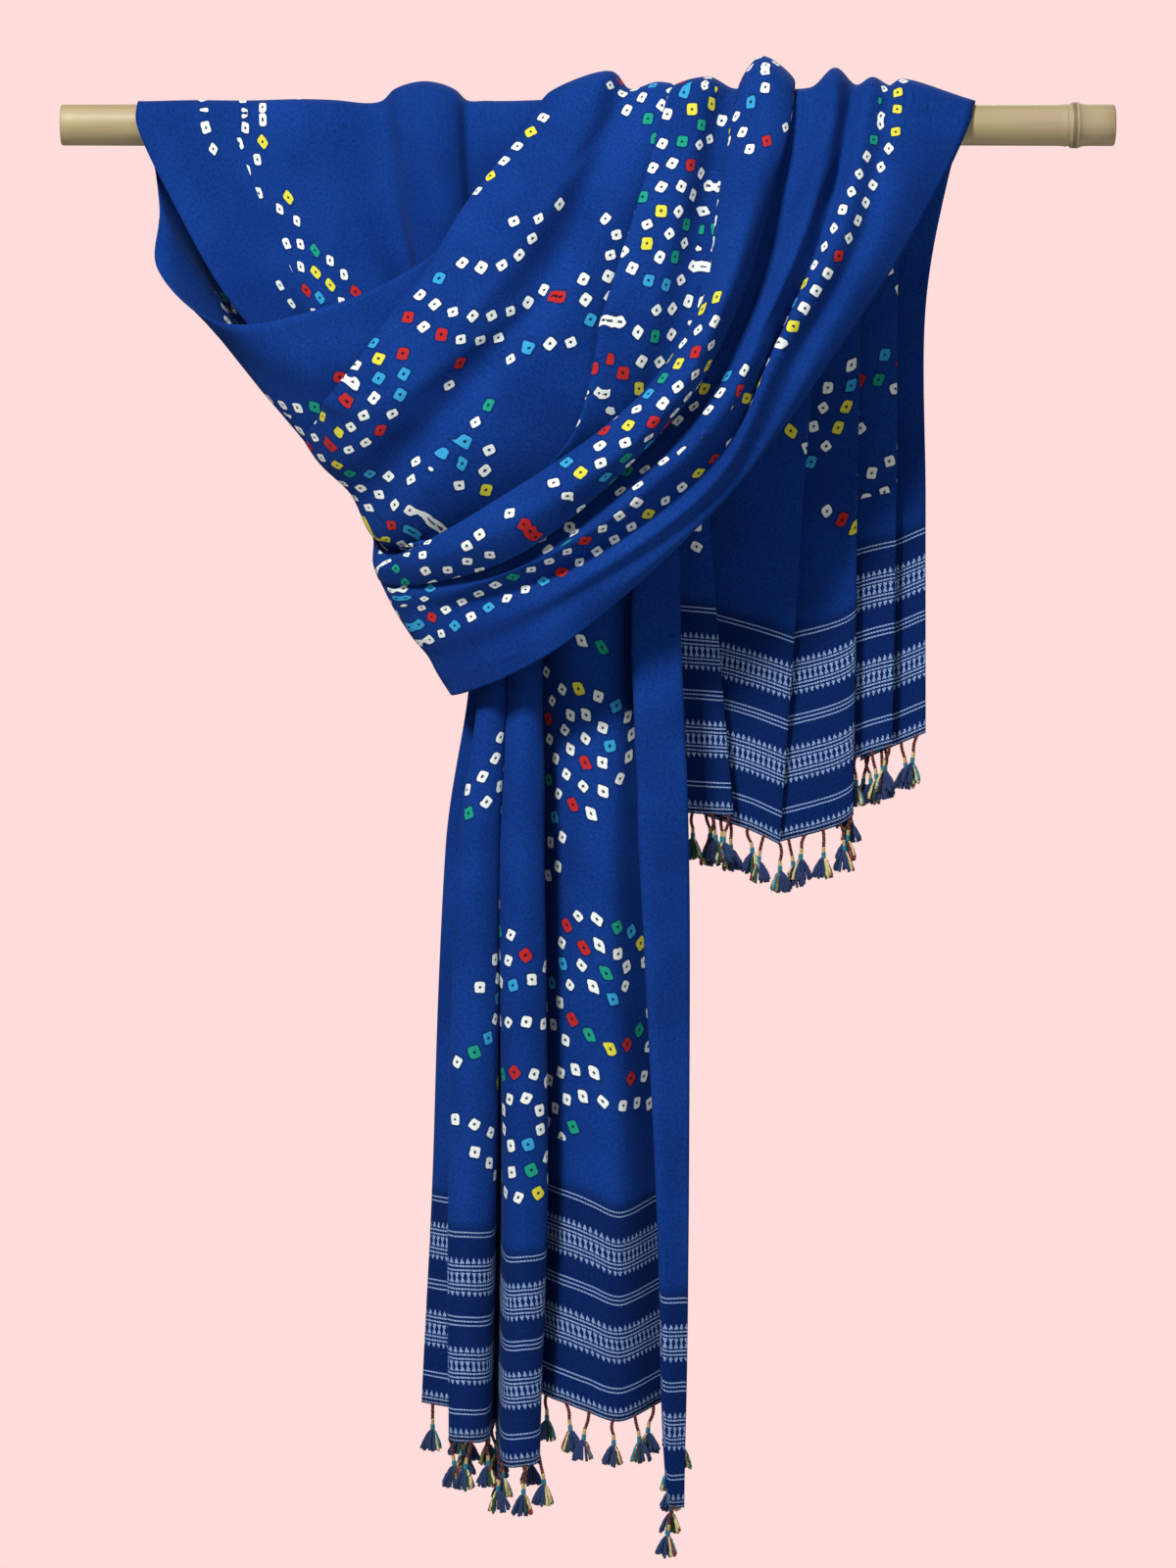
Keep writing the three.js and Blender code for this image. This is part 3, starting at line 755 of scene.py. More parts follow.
@dataclass(frozen=True)
class Mottle:
    """Soft unevenness of tone, as spun and dyed yarn and dry cane have it."""

    name: str = "mottle"

    def group(self) -> bpy.types.NodeTree:
        """Builds the effect once, and gives the same group after that.

        Returns:
            A group that reads a noise at a place and gives it as a tone between two values.
        """
        if self.name in bpy.data.node_groups:
            return bpy.data.node_groups[self.name]
        names = ("Scale", "Detail", "Low", "High", "Dark", "Pale")
        wiring, given, taken = new_group(self.name, {"Place": VECTOR} | dict.fromkeys(names, NUMBER),
                                         {"Tone": NUMBER})
        scale, detail, *limits = (given[name] for name in names)
        noise = wiring.noise(given["Place"], scale, detail)
        wiring.feed(taken["Tone"], wiring.ramp(noise, *limits))
        return wiring.tree

    def tone(self, wiring: Wiring, place: Feed, scale: float, detail: float,
             limits: tuple[float, float], tones: tuple[float, float]) -> Socket:
        """Places the effect in a material.

        Args:
            wiring: the material's wiring.
            place: where the noise is read.
            scale: how fine it is.
            detail: how many finer layers it has.
            limits: the part of the noise that is stretched over the tones.
            tones: the dark and the pale end.

        Returns:
            The tone.
        """
        placed = wiring.place(self.group(), Place=place, Scale=scale, Detail=detail, Low=limits[0],
                              High=limits[1], Dark=tones[0], Pale=tones[1])
        return placed.outputs["Tone"]


# ------------------------------------------------------------------ dyed dots


@dataclass(frozen=True)
class DotSizes:
    """The sizes of the tied dots and how they are set out, in metres of cloth.

    The smallest dot, the range of sizes and the slimness are shares of the usual dot, the turn is
    in radians, the runs are counts of dots and the cell's bare part is a share of its runs. The
    steps number the runs and dots of a cell so that no two rings share a number.
    """

    half: float = 0.0035
    centre: float = 0.0010
    smallest: float = 0.90
    size_range: float = 0.20
    slimness: float = 0.9
    turn: float = 1.3
    wobble: float = 0.0012
    wobble_scale: float = 260.0
    spacing: float = 0.0138
    ring_pitch: float = 0.0165
    rings: int = 6
    ring_run: float = 5.0
    row_run: float = 6.0
    ring_step_of_runs: float = 31.0
    ring_step_of_dots: float = 47.0
    cell: float = 0.150
    jitter: float = 0.024
    bare: float = 0.22
    clusters: float = 6.5
    squareness: float = 4.6


@dataclass
class DotPattern:
    """Tied dots in broken rings, with rows between them and along the margins."""

    sizes: DotSizes = field(default_factory=DotSizes)

    def shape_group(self) -> bpy.types.NodeTree:
        """One tied dot, from the way to its middle and a chance of its own.

        Returns:
            A group that gives the masks of the dot, its dark middle and its rim.
        """
        sizes = self.sizes
        wiring, given, taken = new_group(
            "tied_dot",
            {"Way": VECTOR, "Chance": NUMBER, "Cloth": VECTOR},
            {"Dot": NUMBER, "Middle": NUMBER, "Rim": NUMBER},
        )
        uneven = wiring.noise(given["Cloth"], sizes.wobble_scale, 1.0, "Color")
        centred = wiring.vector("SUBTRACT", uneven, (0.5, 0.5, 0.5))
        shifted = wiring.vector("MULTIPLY", centred, (sizes.wobble, sizes.wobble, 0.0))
        turned = wiring.add("ShaderNodeVectorRotate", rotation_type="Z_AXIS")
        wiring.feed(turned.inputs["Vector"], wiring.vector("ADD", given["Way"], shifted))
        angle = wiring.times(wiring.minus(given["Chance"], 0.5), sizes.turn)
        wiring.feed(turned.inputs["Angle"], angle)
        x, y, _ = wiring.split(turned.outputs[0])
        wide, high = wiring.size(x), wiring.size(wiring.times(y, sizes.slimness))
        powers = [wiring.math("POWER", side, sizes.squareness) for side in (wide, high)]
        reach = wiring.math("POWER", wiring.plus(*powers), 1 / sizes.squareness)
        size = wiring.math("MULTIPLY_ADD", given["Chance"], sizes.size_range, sizes.smallest)
        measure = wiring.over(reach, wiring.times(size, sizes.half))
        wiring.feed(taken["Dot"], wiring.ramp(measure, 0.90, 1.02, 1.0, 0.0))
        wiring.feed(taken["Rim"], wiring.ramp(measure, 1.0, 1.38, 1.0, 0.0))
        lozenge = wiring.ramp(wiring.plus(wide, high), sizes.centre * 0.9, sizes.centre * 1.5, 1.0, 0.0)
        wiring.feed(taken["Middle"], lozenge)
        return wiring.tree

    def ring_group(self) -> bpy.types.NodeTree:
        """Broken rings of dots about the middles of staggered cells.

        Returns:
            A group that gives the way to the nearest dot, its chance and whether it is there.
        """
        sizes = self.sizes
        wiring, given, taken = new_group(
            "ring_dots",
            {"Cloth": VECTOR},
            {"Way": VECTOR, "Chance": NUMBER, "There": NUMBER},
        )
        x, y, _ = wiring.split(given["Cloth"])
        cell_x = wiring.over(x, sizes.cell)
        column = wiring.math("FLOOR", cell_x)
        stagger = wiring.times(wiring.math("PINGPONG", column, 1.0), 0.5)
        cell_y = wiring.plus(wiring.over(y, sizes.cell), stagger)
        row = wiring.math("FLOOR", cell_y)

        def local(cell: Socket, whole: Socket, draw: Draw) -> tuple[Socket, Socket]:
            """Finds the way from a cell's middle, which is shifted by chance.

            Args:
                cell: the place in cells.
                whole: the cell's number.
                draw: this axis's chance.

            Returns:
                The way and the shift, in metres.
            """
            chance = wiring.chance(column, row, draw.value)
            shift = wiring.times(wiring.minus(chance, 0.5), sizes.jitter)
            inside = wiring.times(wiring.minus(wiring.minus(cell, whole), 0.5), sizes.cell)
            return wiring.minus(inside, shift), shift

        local_x, shift_x = local(cell_x, column, Draw.CELL_ACROSS)
        local_y, shift_y = local(cell_y, row, Draw.CELL_ALONG)
        square = wiring.plus(wiring.times(local_x, local_x), wiring.times(local_y, local_y))
        ring = wiring.math("ROUND", wiring.over(wiring.math("SQRT", square), sizes.ring_pitch))
        ring = wiring.math("MINIMUM", ring, float(sizes.rings))
        dots_a_ring = 2 * math.pi * sizes.ring_pitch / sizes.spacing
        around = wiring.most(wiring.math("ROUND", wiring.times(ring, dots_a_ring)), 1.0)
        start = wiring.chance(column, row, ring)
        turn = wiring.over(wiring.math("ARCTAN2", local_y, local_x), 2 * math.pi)
        number = wiring.math("ROUND", wiring.minus(wiring.times(turn, around), start))
        angle = wiring.times(wiring.over(wiring.plus(number, start), around), 2 * math.pi)
        circle = wiring.times(ring, sizes.ring_pitch)
        middle_x = wiring.times(circle, wiring.math("COSINE", angle))
        middle_y = wiring.times(circle, wiring.math("SINE", angle))
        wiring.feed(taken["Way"], wiring.join(wiring.minus(local_x, middle_x),
                                              wiring.minus(local_y, middle_y)))
        wrapped = wiring.math("WRAP", number, around, 0.0)
        run = wiring.math("FLOOR", wiring.over(wrapped, sizes.ring_run))
        own_run = wiring.plus(wiring.times(ring, sizes.ring_step_of_runs), run)
        kept = wiring.chance(column, row, wiring.plus(own_run, Draw.RING_RUN.value))
        reach = [wiring.size(wiring.plus(middle, shift))
                 for middle, shift in ((middle_x, shift_x), (middle_y, shift_y))]
        whole_dot = wiring.math("LESS_THAN", wiring.most(*reach), sizes.cell / 2 - 1.2 * sizes.half)
        there = wiring.times(wiring.math("GREATER_THAN", kept, sizes.bare), whole_dot)
        wiring.feed(taken["There"], there)
        own_dot = wiring.plus(wiring.times(ring, sizes.ring_step_of_dots), wrapped)
        own_dot = wiring.plus(own_dot, Draw.RING_DOT.value)
        wiring.feed(taken["Chance"], wiring.chance(column, row, own_dot))
        return wiring.tree

    def row_group(self) -> bpy.types.NodeTree:
        """Straight rows of dots, a stated distance apart, broken into short runs.

        Returns:
            A group that gives the way to the nearest dot, its chance and whether it is there.
        """
        sizes = self.sizes
        wiring, given, taken = new_group(
            "row_dots",
            {"Cloth": VECTOR, "Apart": NUMBER, "Kept": NUMBER},
            {"Way": VECTOR, "Chance": NUMBER, "There": NUMBER},
        )
        x, y, _ = wiring.split(given["Cloth"])
        line = wiring.over(y, given["Apart"])
        line_number = wiring.math("ROUND", line)
        off_line = wiring.times(wiring.minus(line, line_number), given["Apart"])
        step = wiring.over(x, sizes.spacing)
        number = wiring.math("ROUND", step)
        off_step = wiring.times(wiring.minus(step, number), sizes.spacing)
        run = wiring.math("FLOOR", wiring.over(number, sizes.row_run))
        kept = wiring.chance(run, line_number, Draw.ROW_RUN.value)
        wiring.feed(taken["There"], wiring.math("LESS_THAN", kept, given["Kept"]))
        wiring.feed(taken["Way"], wiring.join(off_step, off_line))
        wiring.feed(taken["Chance"], wiring.chance(number, line_number, Draw.ROW_DOT.value))
        return wiring.tree


# ------------------------------------------------------------------ woven border


@dataclass(frozen=True)
class BorderSizes:
    """The woven border, in millimetres of cloth from the hem.

    The teeth, the hourglasses and their waists are shares of half the pitch. The stitch and its
    slant are metres.
    """

    first_band: float = 37.7
    period: float = 58.5
    band: float = 26.0
    hem_shift: float = 16.3
    hem_row: float = 12.0
    lines: tuple[float, ...] = (39.6, 42.4)
    third_line: float = 45.2
    band_lines: tuple[float, ...] = (5.2, 7.8, 17.6, 20.3)
    tooth: float = 0.80
    glass: float = 0.82
    waist: float = 0.20
    pitch: float = 3.8
    line_half: float = 0.46
    line_soft: float = 0.12
    bow: float = 0.7
    stitch: float = 0.00105
    stitch_slant: float = 0.0009
    hem_edge: float = 0.5
    # How far up from each hem the border's ground reaches, and with it the painted shade carried by the
    # darker border colour.
    top: float = 140.5
    top_fade: tuple[float, float] = (-3.0, 9.0)


@dataclass
class WovenBorder:
    """Bands of small woven triangles and hourglasses between groups of lines."""

    sizes: BorderSizes = field(default_factory=BorderSizes)

    def band_stops(self) -> list[tuple[float, float]]:
        """How much of the pitch is thread at each height of a band, from its lower points up.

        Returns:
            Stops of a curve with straight sides, over one band.
        """
        sizes = self.sizes
        lines = [[(line - 0.6, 0.0), (line - 0.5, 1.0), (line + 0.5, 1.0), (line + 0.6, 0.0)]
                 for line in sizes.band_lines]
        stops = [
            (0.0, 0.0), (3.3, sizes.tooth), (3.4, 0.0),
            *lines[0], *lines[1],
            (9.4, 0.0), (9.5, sizes.glass), (12.7, sizes.waist), (15.9, sizes.glass), (16.0, 0.0),
            *lines[2], *lines[3],
            (21.9, 0.0), (22.0, sizes.tooth), (25.8, 0.0), (26.0, 0.0),
        ]
        return [(height / sizes.band, value) for height, value in stops]

    def group(self) -> bpy.types.NodeTree:
        """The threads of the border.

        Returns:
            A group that gives the mask of the pale threads and that of the border's ground, where the
            cloth is darkened partly by painted shade.
        """
        sizes = self.sizes
        wiring, given, taken = new_group(
            "woven_border",
            {"Cloth": VECTOR, "Height": NUMBER},
            {"Thread": NUMBER, "Ground": NUMBER},
        )
        x, _, _ = wiring.split(given["Cloth"])
        bow = wiring.times(wiring.minus(wiring.noise(given["Cloth"], 90.0, 1.0), 0.5), sizes.bow)
        height = wiring.math("MULTIPLY_ADD", given["Height"], 1 / MM, bow)
        above = wiring.minus(height, sizes.first_band)
        phase = wiring.math("FLOORED_MODULO", above, sizes.period)
        at_hem = wiring.math("LESS_THAN", height, sizes.hem_row)
        hem_phase = wiring.plus(height, sizes.hem_shift)
        above_hem = wiring.minus(1.0, at_hem)
        phase = wiring.plus(wiring.times(hem_phase, at_hem), wiring.times(phase, above_hem))

        profile = wiring.add("ShaderNodeFloatCurve")
        points = profile.mapping.curves[0].points
        stops = self.band_stops()
        points[0].location = stops[0]
        points[1].location = stops[-1]
        for stop in stops[1:-1]:
            points.new(*stop)
        for point in points:
            point.handle_type = "VECTOR"
        profile.mapping.update()
        in_band = wiring.math("DIVIDE", phase, sizes.band, clamp=True)
        wiring.feed(profile.inputs["Value"], in_band)
        width = profile.outputs[0]
        tooth = wiring.math("PINGPONG", wiring.over(x, sizes.pitch / 2 * MM), 1.0)
        mask = wiring.times(wiring.ramp(wiring.minus(width, tooth), -0.07, 0.05),
                            wiring.math("GREATER_THAN", width, 0.05))

        soft = sizes.line_soft
        for line in sizes.lines + (sizes.third_line,):
            off = wiring.size(wiring.minus(phase, line))
            mark = wiring.ramp(off, sizes.line_half - soft, sizes.line_half + soft, 1.0, 0.0)
            if line == sizes.third_line:
                middle = wiring.size(wiring.minus(above, sizes.third_line))
                mark = wiring.times(mark, wiring.math("LESS_THAN", middle, 2.0))
            mask = wiring.most(mask, mark)
        slant = wiring.math("MULTIPLY_ADD", height, sizes.stitch_slant, x)
        stitch = wiring.math("PINGPONG", wiring.over(slant, sizes.stitch), 1.0)
        weave = wiring.noise(wiring.vector("MULTIPLY", given["Cloth"], (1.0, 2.6, 1.0)), 900.0, 1.0)
        broken = wiring.times(wiring.ramp(weave, 0.28, 0.52, 0.40, 1.0),
                              wiring.ramp(stitch, 0.08, 0.55, 0.22, 1.0))
        inside = wiring.times(wiring.math("LESS_THAN", height, sizes.top),
                              wiring.math("GREATER_THAN", height, sizes.hem_edge))
        wiring.feed(taken["Thread"], wiring.times(wiring.times(mask, broken), inside))
        # The border's ground band, where the cloth gets its darker border colour, which is partly painted
        # shade.
        low, high = (sizes.top + fade for fade in sizes.top_fade)
        wiring.feed(taken["Ground"], wiring.ramp(height, low, high, 1.0, 0.0))
        return wiring.tree


# ------------------------------------------------------------------ materials


@dataclass(frozen=True)
class ShawlCloth:
    """Indigo-blue cloth with tied dots and a woven border at its hems, sizes in metres."""

    ground: tuple = (0.0046, 0.0370, 0.218, 1.0)
    ground_deep: tuple = (0.0030, 0.0265, 0.168, 1.0)
    # Partly the border's own ground, a little darker than the rest, and partly painted shade: much darker
    # again, for the dim light low on the falls.
    border: tuple = (0.0017, 0.0145, 0.094, 1.0)
    shade: tuple = (0.001, 0.005, 0.035, 1.0)
    thread: tuple = (0.32, 0.46, 0.74, 1.0)
    white: tuple = (0.80, 0.86, 0.84, 1.0)
    red: tuple = (0.46, 0.022, 0.020, 1.0)
    yellow: tuple = (0.70, 0.66, 0.060, 1.0)
    green: tuple = (0.012, 0.30, 0.20, 1.0)
    turquoise: tuple = (0.035, 0.32, 0.60, 1.0)
    dyes: tuple[tuple[float, str], ...] = (
        (0.69, "turquoise"), (0.77, "green"), (0.84, "yellow"), (0.92, "red"))
    plain_margin: float = 0.043
    plain_end: float = 0.172
    margin_row: float = 0.0162
    rows_kept: tuple[float, float] = (0.45, 0.66)
    plain_from: tuple[float, ...] = (1.13, 1.20)
    plain_to: tuple[float, ...] = (1.50, 1.62, 1.0, 0.0)
    plain_loss: float = 0.16
    tied_above: float = 0.43
    blotch_scale: float = 14.0
    grain_scale: float = 1100.0
    fuzz_scale: float = 480.0
    dye_scale: float = 700.0
    speckle: float = 1.15
    speckle_shift: float = -0.15
    thread_pitch: float = 0.0011
    weave_share: float = 0.18
    relief_height: float = 0.00028

    def margin_dots(self, wiring: Wiring, rows: bpy.types.NodeTree, along: Feed, off: Feed,
                    kept: float) -> tuple[bpy.types.Node, Socket]:
        """Two rows of dots beside a plain margin.

        Args:
            wiring: the material's wiring.
            rows: the group that sets dots in rows.
            along: the place along the cloth.
            off: the distance from the selvedge.
            kept: how many of the rows' runs are dyed.

        Returns:
            The placed group and the mask of where its dots may be.
        """
        across = wiring.minus(off, self.plain_margin + self.margin_row / 2)
        cloth = wiring.join(along, across)
        placed = wiring.place(rows, Cloth=cloth, Apart=self.margin_row, Kept=kept)
        middle = wiring.minus(off, self.plain_margin + self.margin_row)
        near = wiring.math("LESS_THAN", wiring.size(middle), self.margin_row)
        return placed, near

    def dotted(self, wiring: Wiring, cloth: Socket, from_hem: Socket,
               dots: DotPattern) -> dict[str, Socket]:
        """Lays the three sets of dots over each other.

        Args:
            wiring: the material's wiring.
            cloth: the place on the flat cloth.
            from_hem: the distance from the nearer hem.
            dots: the dyed pattern.

        Returns:
            The masks of the dots, of their middles and of their rims, and each dot's chance.
        """
        x, y, _ = wiring.split(cloth)
        far = wiring.minus(CLOTH_WIDTH * MM, x)
        shape, rows = dots.shape_group(), dots.row_group()
        rings = wiring.place(dots.ring_group(), Cloth=cloth)
        dot_middle = wiring.vector("SUBTRACT", cloth, rings.outputs["Way"])
        grouped = self.groups(wiring, dot_middle, dots.sizes.clusters)
        inside = wiring.times(wiring.math("GREATER_THAN", x, self.plain_margin),
                              wiring.math("GREATER_THAN", far, self.plain_margin))
        inside = wiring.times(inside, wiring.math("GREATER_THAN", from_hem, self.plain_end))
        edge_rows, near_edge = self.margin_dots(wiring, rows, y, x, self.rows_kept[0])
        far_rows, near_far = self.margin_dots(wiring, rows, y, far, self.rows_kept[1])
        apart = wiring.times(wiring.minus(1.0, wiring.most(near_edge, near_far)), grouped)

        layers: dict[str, Feed] = {"Dot": 0.0, "Middle": 0.0, "Rim": 0.0, "Chance": 0.0}
        for layer, where in ((rings, apart), (edge_rows, near_edge), (far_rows, near_far)):
            way, chance, there = (layer.outputs[name] for name in ("Way", "Chance", "There"))
            there = wiring.times(wiring.times(there, inside), where)
            mark = wiring.place(shape, Way=way, Chance=chance, Cloth=cloth)
            for name, seen in layers.items():
                own = chance if name == "Chance" else mark.outputs[name]
                layers[name] = wiring.most(seen, wiring.times(own, there))
        return layers

    def build(self, dots: DotPattern, border: WovenBorder) -> bpy.types.Material:
        """Makes the material.

        Args:
            dots: the dyed pattern.
            border: the woven pattern.

        Returns:
            The material, which reads UVs that are metres of cloth.
        """
        material, wiring, shader = new_material("shawl_cloth")
        cloth = wiring.add("ShaderNodeUVMap", uv_map="cloth").outputs[0]
        x, y, _ = wiring.split(cloth)
        from_hem = wiring.math("MINIMUM", y, wiring.minus(CLOTH_LENGTH * MM, y))
        marks = self.dotted(wiring, cloth, from_hem, dots)

        blotch = wiring.noise(cloth, self.blotch_scale, 3.0)
        grain = wiring.noise(cloth, self.grain_scale, 2.0)
        fuzz = wiring.noise(cloth, self.fuzz_scale, 3.0)
        colour = wiring.mix(wiring.ramp(blotch, 0.30, 0.72), self.ground, self.ground_deep)
        woven = wiring.place(border.group(), Cloth=cloth, Height=from_hem)
        # Border ground near the hems: its own slightly darker tone plus painted shade for the dim light
        # at the foot of the falls.
        colour = wiring.mix(woven.outputs["Ground"], colour, self.border)
        speck = wiring.math("MULTIPLY_ADD", wiring.plus(grain, fuzz), self.speckle, self.speckle_shift)
        colour = wiring.toned(colour, speck)
        colour = wiring.mix(wiring.times(marks["Rim"], 0.55), colour, self.shade)
        tone = Mottle().tone(wiring, cloth, self.dye_scale, 2.0, (0.2, 0.8), (0.84, 1.08))
        dye = wiring.toned(self.dye(wiring, marks["Chance"]), tone)
        colour = wiring.mix(marks["Dot"], colour, dye)
        colour = wiring.mix(wiring.times(marks["Middle"], 0.95), colour, self.shade)
        colour = wiring.mix(woven.outputs["Thread"], colour, self.thread)
        wiring.feed(shader["Base Color"], colour)

        weave_x, weave_y = (wiring.math("SINE", wiring.times(way, 2 * math.pi / self.thread_pitch))
                            for way in (x, y))
        relief = wiring.math("MULTIPLY_ADD", wiring.times(weave_x, weave_y), self.weave_share, fuzz)
        for height, share in ((grain, 0.7), (marks["Rim"], 0.8), (marks["Middle"], -0.9),
                              (woven.outputs["Thread"], 0.7)):
            relief = wiring.plus(relief, wiring.times(height, share))
        wiring.feed(shader["Normal"], wiring.bump(relief, self.relief_height, 0.8))
        shader["Roughness"].default_value = 0.9
        shader["Specular IOR Level"].default_value = 0.06
        shader["Sheen Weight"].default_value = 0.06
        shader["Sheen Roughness"].default_value = 0.5
        shader["Sheen Tint"].default_value = (0.20, 0.35, 0.85, 1.0)
        return material

    def groups(self, wiring: Wiring, middle: Feed, scale: float) -> Socket:
        """Says whether a dot's middle lies in one of the loose groups that the dots are tied in.

        Args:
            wiring: the material's wiring.
            middle: the dot's middle on the flat cloth.
            scale: how many groups there are to a metre.

        Returns:
            1 where the dot is tied, 0 on the plain cloth between the groups.
        """
        crowd = wiring.noise(middle, scale, 0.0)
        _, y, _ = wiring.split(middle)
        bare = wiring.times(wiring.ramp(y, *self.plain_from), wiring.ramp(y, *self.plain_to))
        crowd = wiring.math("MULTIPLY_ADD", bare, -self.plain_loss, crowd)
        return wiring.math("GREATER_THAN", crowd, self.tied_above)

    def dye(self, wiring: Wiring, chance: Feed) -> Socket:
        """Picks a dot's dye: mostly white, the rest in four colours.

        Args:
            wiring: the material's wiring.
            chance: the dot's own chance.

        Returns:
            The colour.
        """
        colour: Feed = self.white
        for limit, name in self.dyes:
            colour = wiring.mix(wiring.math("GREATER_THAN", chance, limit), colour, getattr(self, name))
        return colour


@dataclass(frozen=True)
class YarnFinish:
    """Soft spun yarn of one colour."""

    yarn: Yarn
    colour: tuple
    tone_scale: float = 900.0
    fibre_scale: float = 2600.0
    fibre_height: float = 0.0003

    def build(self) -> bpy.types.Material:
        """Makes the material.

        Returns:
            The material.
        """
        material, wiring, shader = new_material(f"yarn_{self.yarn.name.lower()}")
        place = wiring.add("ShaderNodeTexCoord").outputs["Object"]
        tone = Mottle().tone(wiring, place, self.tone_scale, 3.0, (0.25, 0.75), (0.62, 1.12))
        wiring.feed(shader["Base Color"], wiring.toned(self.colour, tone))
        fibres = wiring.noise(place, self.fibre_scale, 2.0)
        wiring.feed(shader["Normal"], wiring.bump(fibres, self.fibre_height, 0.8))
        shader["Roughness"].default_value = 0.86
        shader["Sheen Weight"].default_value = 0.10
        return material


YARN_FINISHES = (
    YarnFinish(Yarn.BLUE, (0.005, 0.028, 0.125, 1.0)),
    YarnFinish(Yarn.RED, (0.240, 0.008, 0.010, 1.0)),
    YarnFinish(Yarn.GREEN, (0.006, 0.060, 0.022, 1.0)),
    YarnFinish(Yarn.CREAM, (0.680, 0.560, 0.260, 1.0)),
    YarnFinish(Yarn.TURQUOISE, (0.010, 0.220, 0.320, 1.0)),
    YarnFinish(Yarn.BLACK, (0.008, 0.007, 0.012, 1.0)),
    YarnFinish(Yarn.GOLD, (0.620, 0.460, 0.160, 1.0)),
)


@dataclass(frozen=True)
class BambooFinish:
    """Dry, pale bamboo with long fibres and darker joint rings."""

    pale: tuple = (0.400, 0.325, 0.170, 1.0)
    deep: tuple = (0.300, 0.245, 0.110, 1.0)
    blush: tuple = (0.360, 0.262, 0.170, 1.0)
    scar: tuple = (0.115, 0.072, 0.035, 1.0)
    fibre_stretch: Point = (7.0, 110.0, 110.0)
    blush_stretch: Point = (9.0, 40.0, 40.0)
    scar_width: tuple[float, float] = (0.0007, 0.0022)
    fibre_height: float = 0.0004

    def build(self) -> bpy.types.Material:
        """Makes the material.

        Returns:
            The material, which reads places along the rod.
        """
        material, wiring, shader = new_material("bamboo")
        place = wiring.add("ShaderNodeTexCoord").outputs["Object"]
        fibre = wiring.noise(wiring.vector("MULTIPLY", place, self.fibre_stretch), 1.0, 4.0)
        colour = wiring.mix(wiring.ramp(fibre, 0.30, 0.74), self.pale, self.deep)
        blotches = wiring.vector("MULTIPLY", place, self.blush_stretch)
        blush = Mottle().tone(wiring, blotches, 1.0, 3.0, (0.45, 0.70), (0.0, 0.6))
        colour = wiring.mix(blush, colour, self.blush)
        x, _, _ = wiring.split(place)
        near: Feed = 0.0
        for ring in ROD_RINGS:
            off = wiring.size(wiring.minus(x, ring * MM))
            near = wiring.most(near, wiring.ramp(off, *self.scar_width, 1.0, 0.0))
        colour = wiring.mix(wiring.times(near, 0.7), colour, self.scar)
        wiring.feed(shader["Base Color"], colour)
        wiring.feed(shader["Normal"], wiring.bump(fibre, self.fibre_height, 0.5))
        polish = Mottle().tone(wiring, blotches, 1.0, 3.0, (0.2, 0.8), (0.40, 0.62))
        wiring.feed(shader["Roughness"], polish)
        return material


# ------------------------------------------------------------------ meshes


def mesh_object(name: str, vertices: np.ndarray, faces: list, smooth: bool = True) -> bpy.types.Object:
    """Makes an object of vertices in millimetres.

    Args:
        name: the object's name.
        vertices: places in millimetres.
        faces: corner numbers of each face.
        smooth: whether its faces are shaded smooth.

    Returns:
        The object, in metres.
    """
    mesh = bpy.data.meshes.new(name)
    mesh.from_pydata((np.asarray(vertices) * MM).tolist(), [], faces)
    mesh.update()
    if smooth:
        mesh.shade_smooth()
    thing = bpy.data.objects.new(name, mesh)
    bpy.context.scene.collection.objects.link(thing)
    return thing


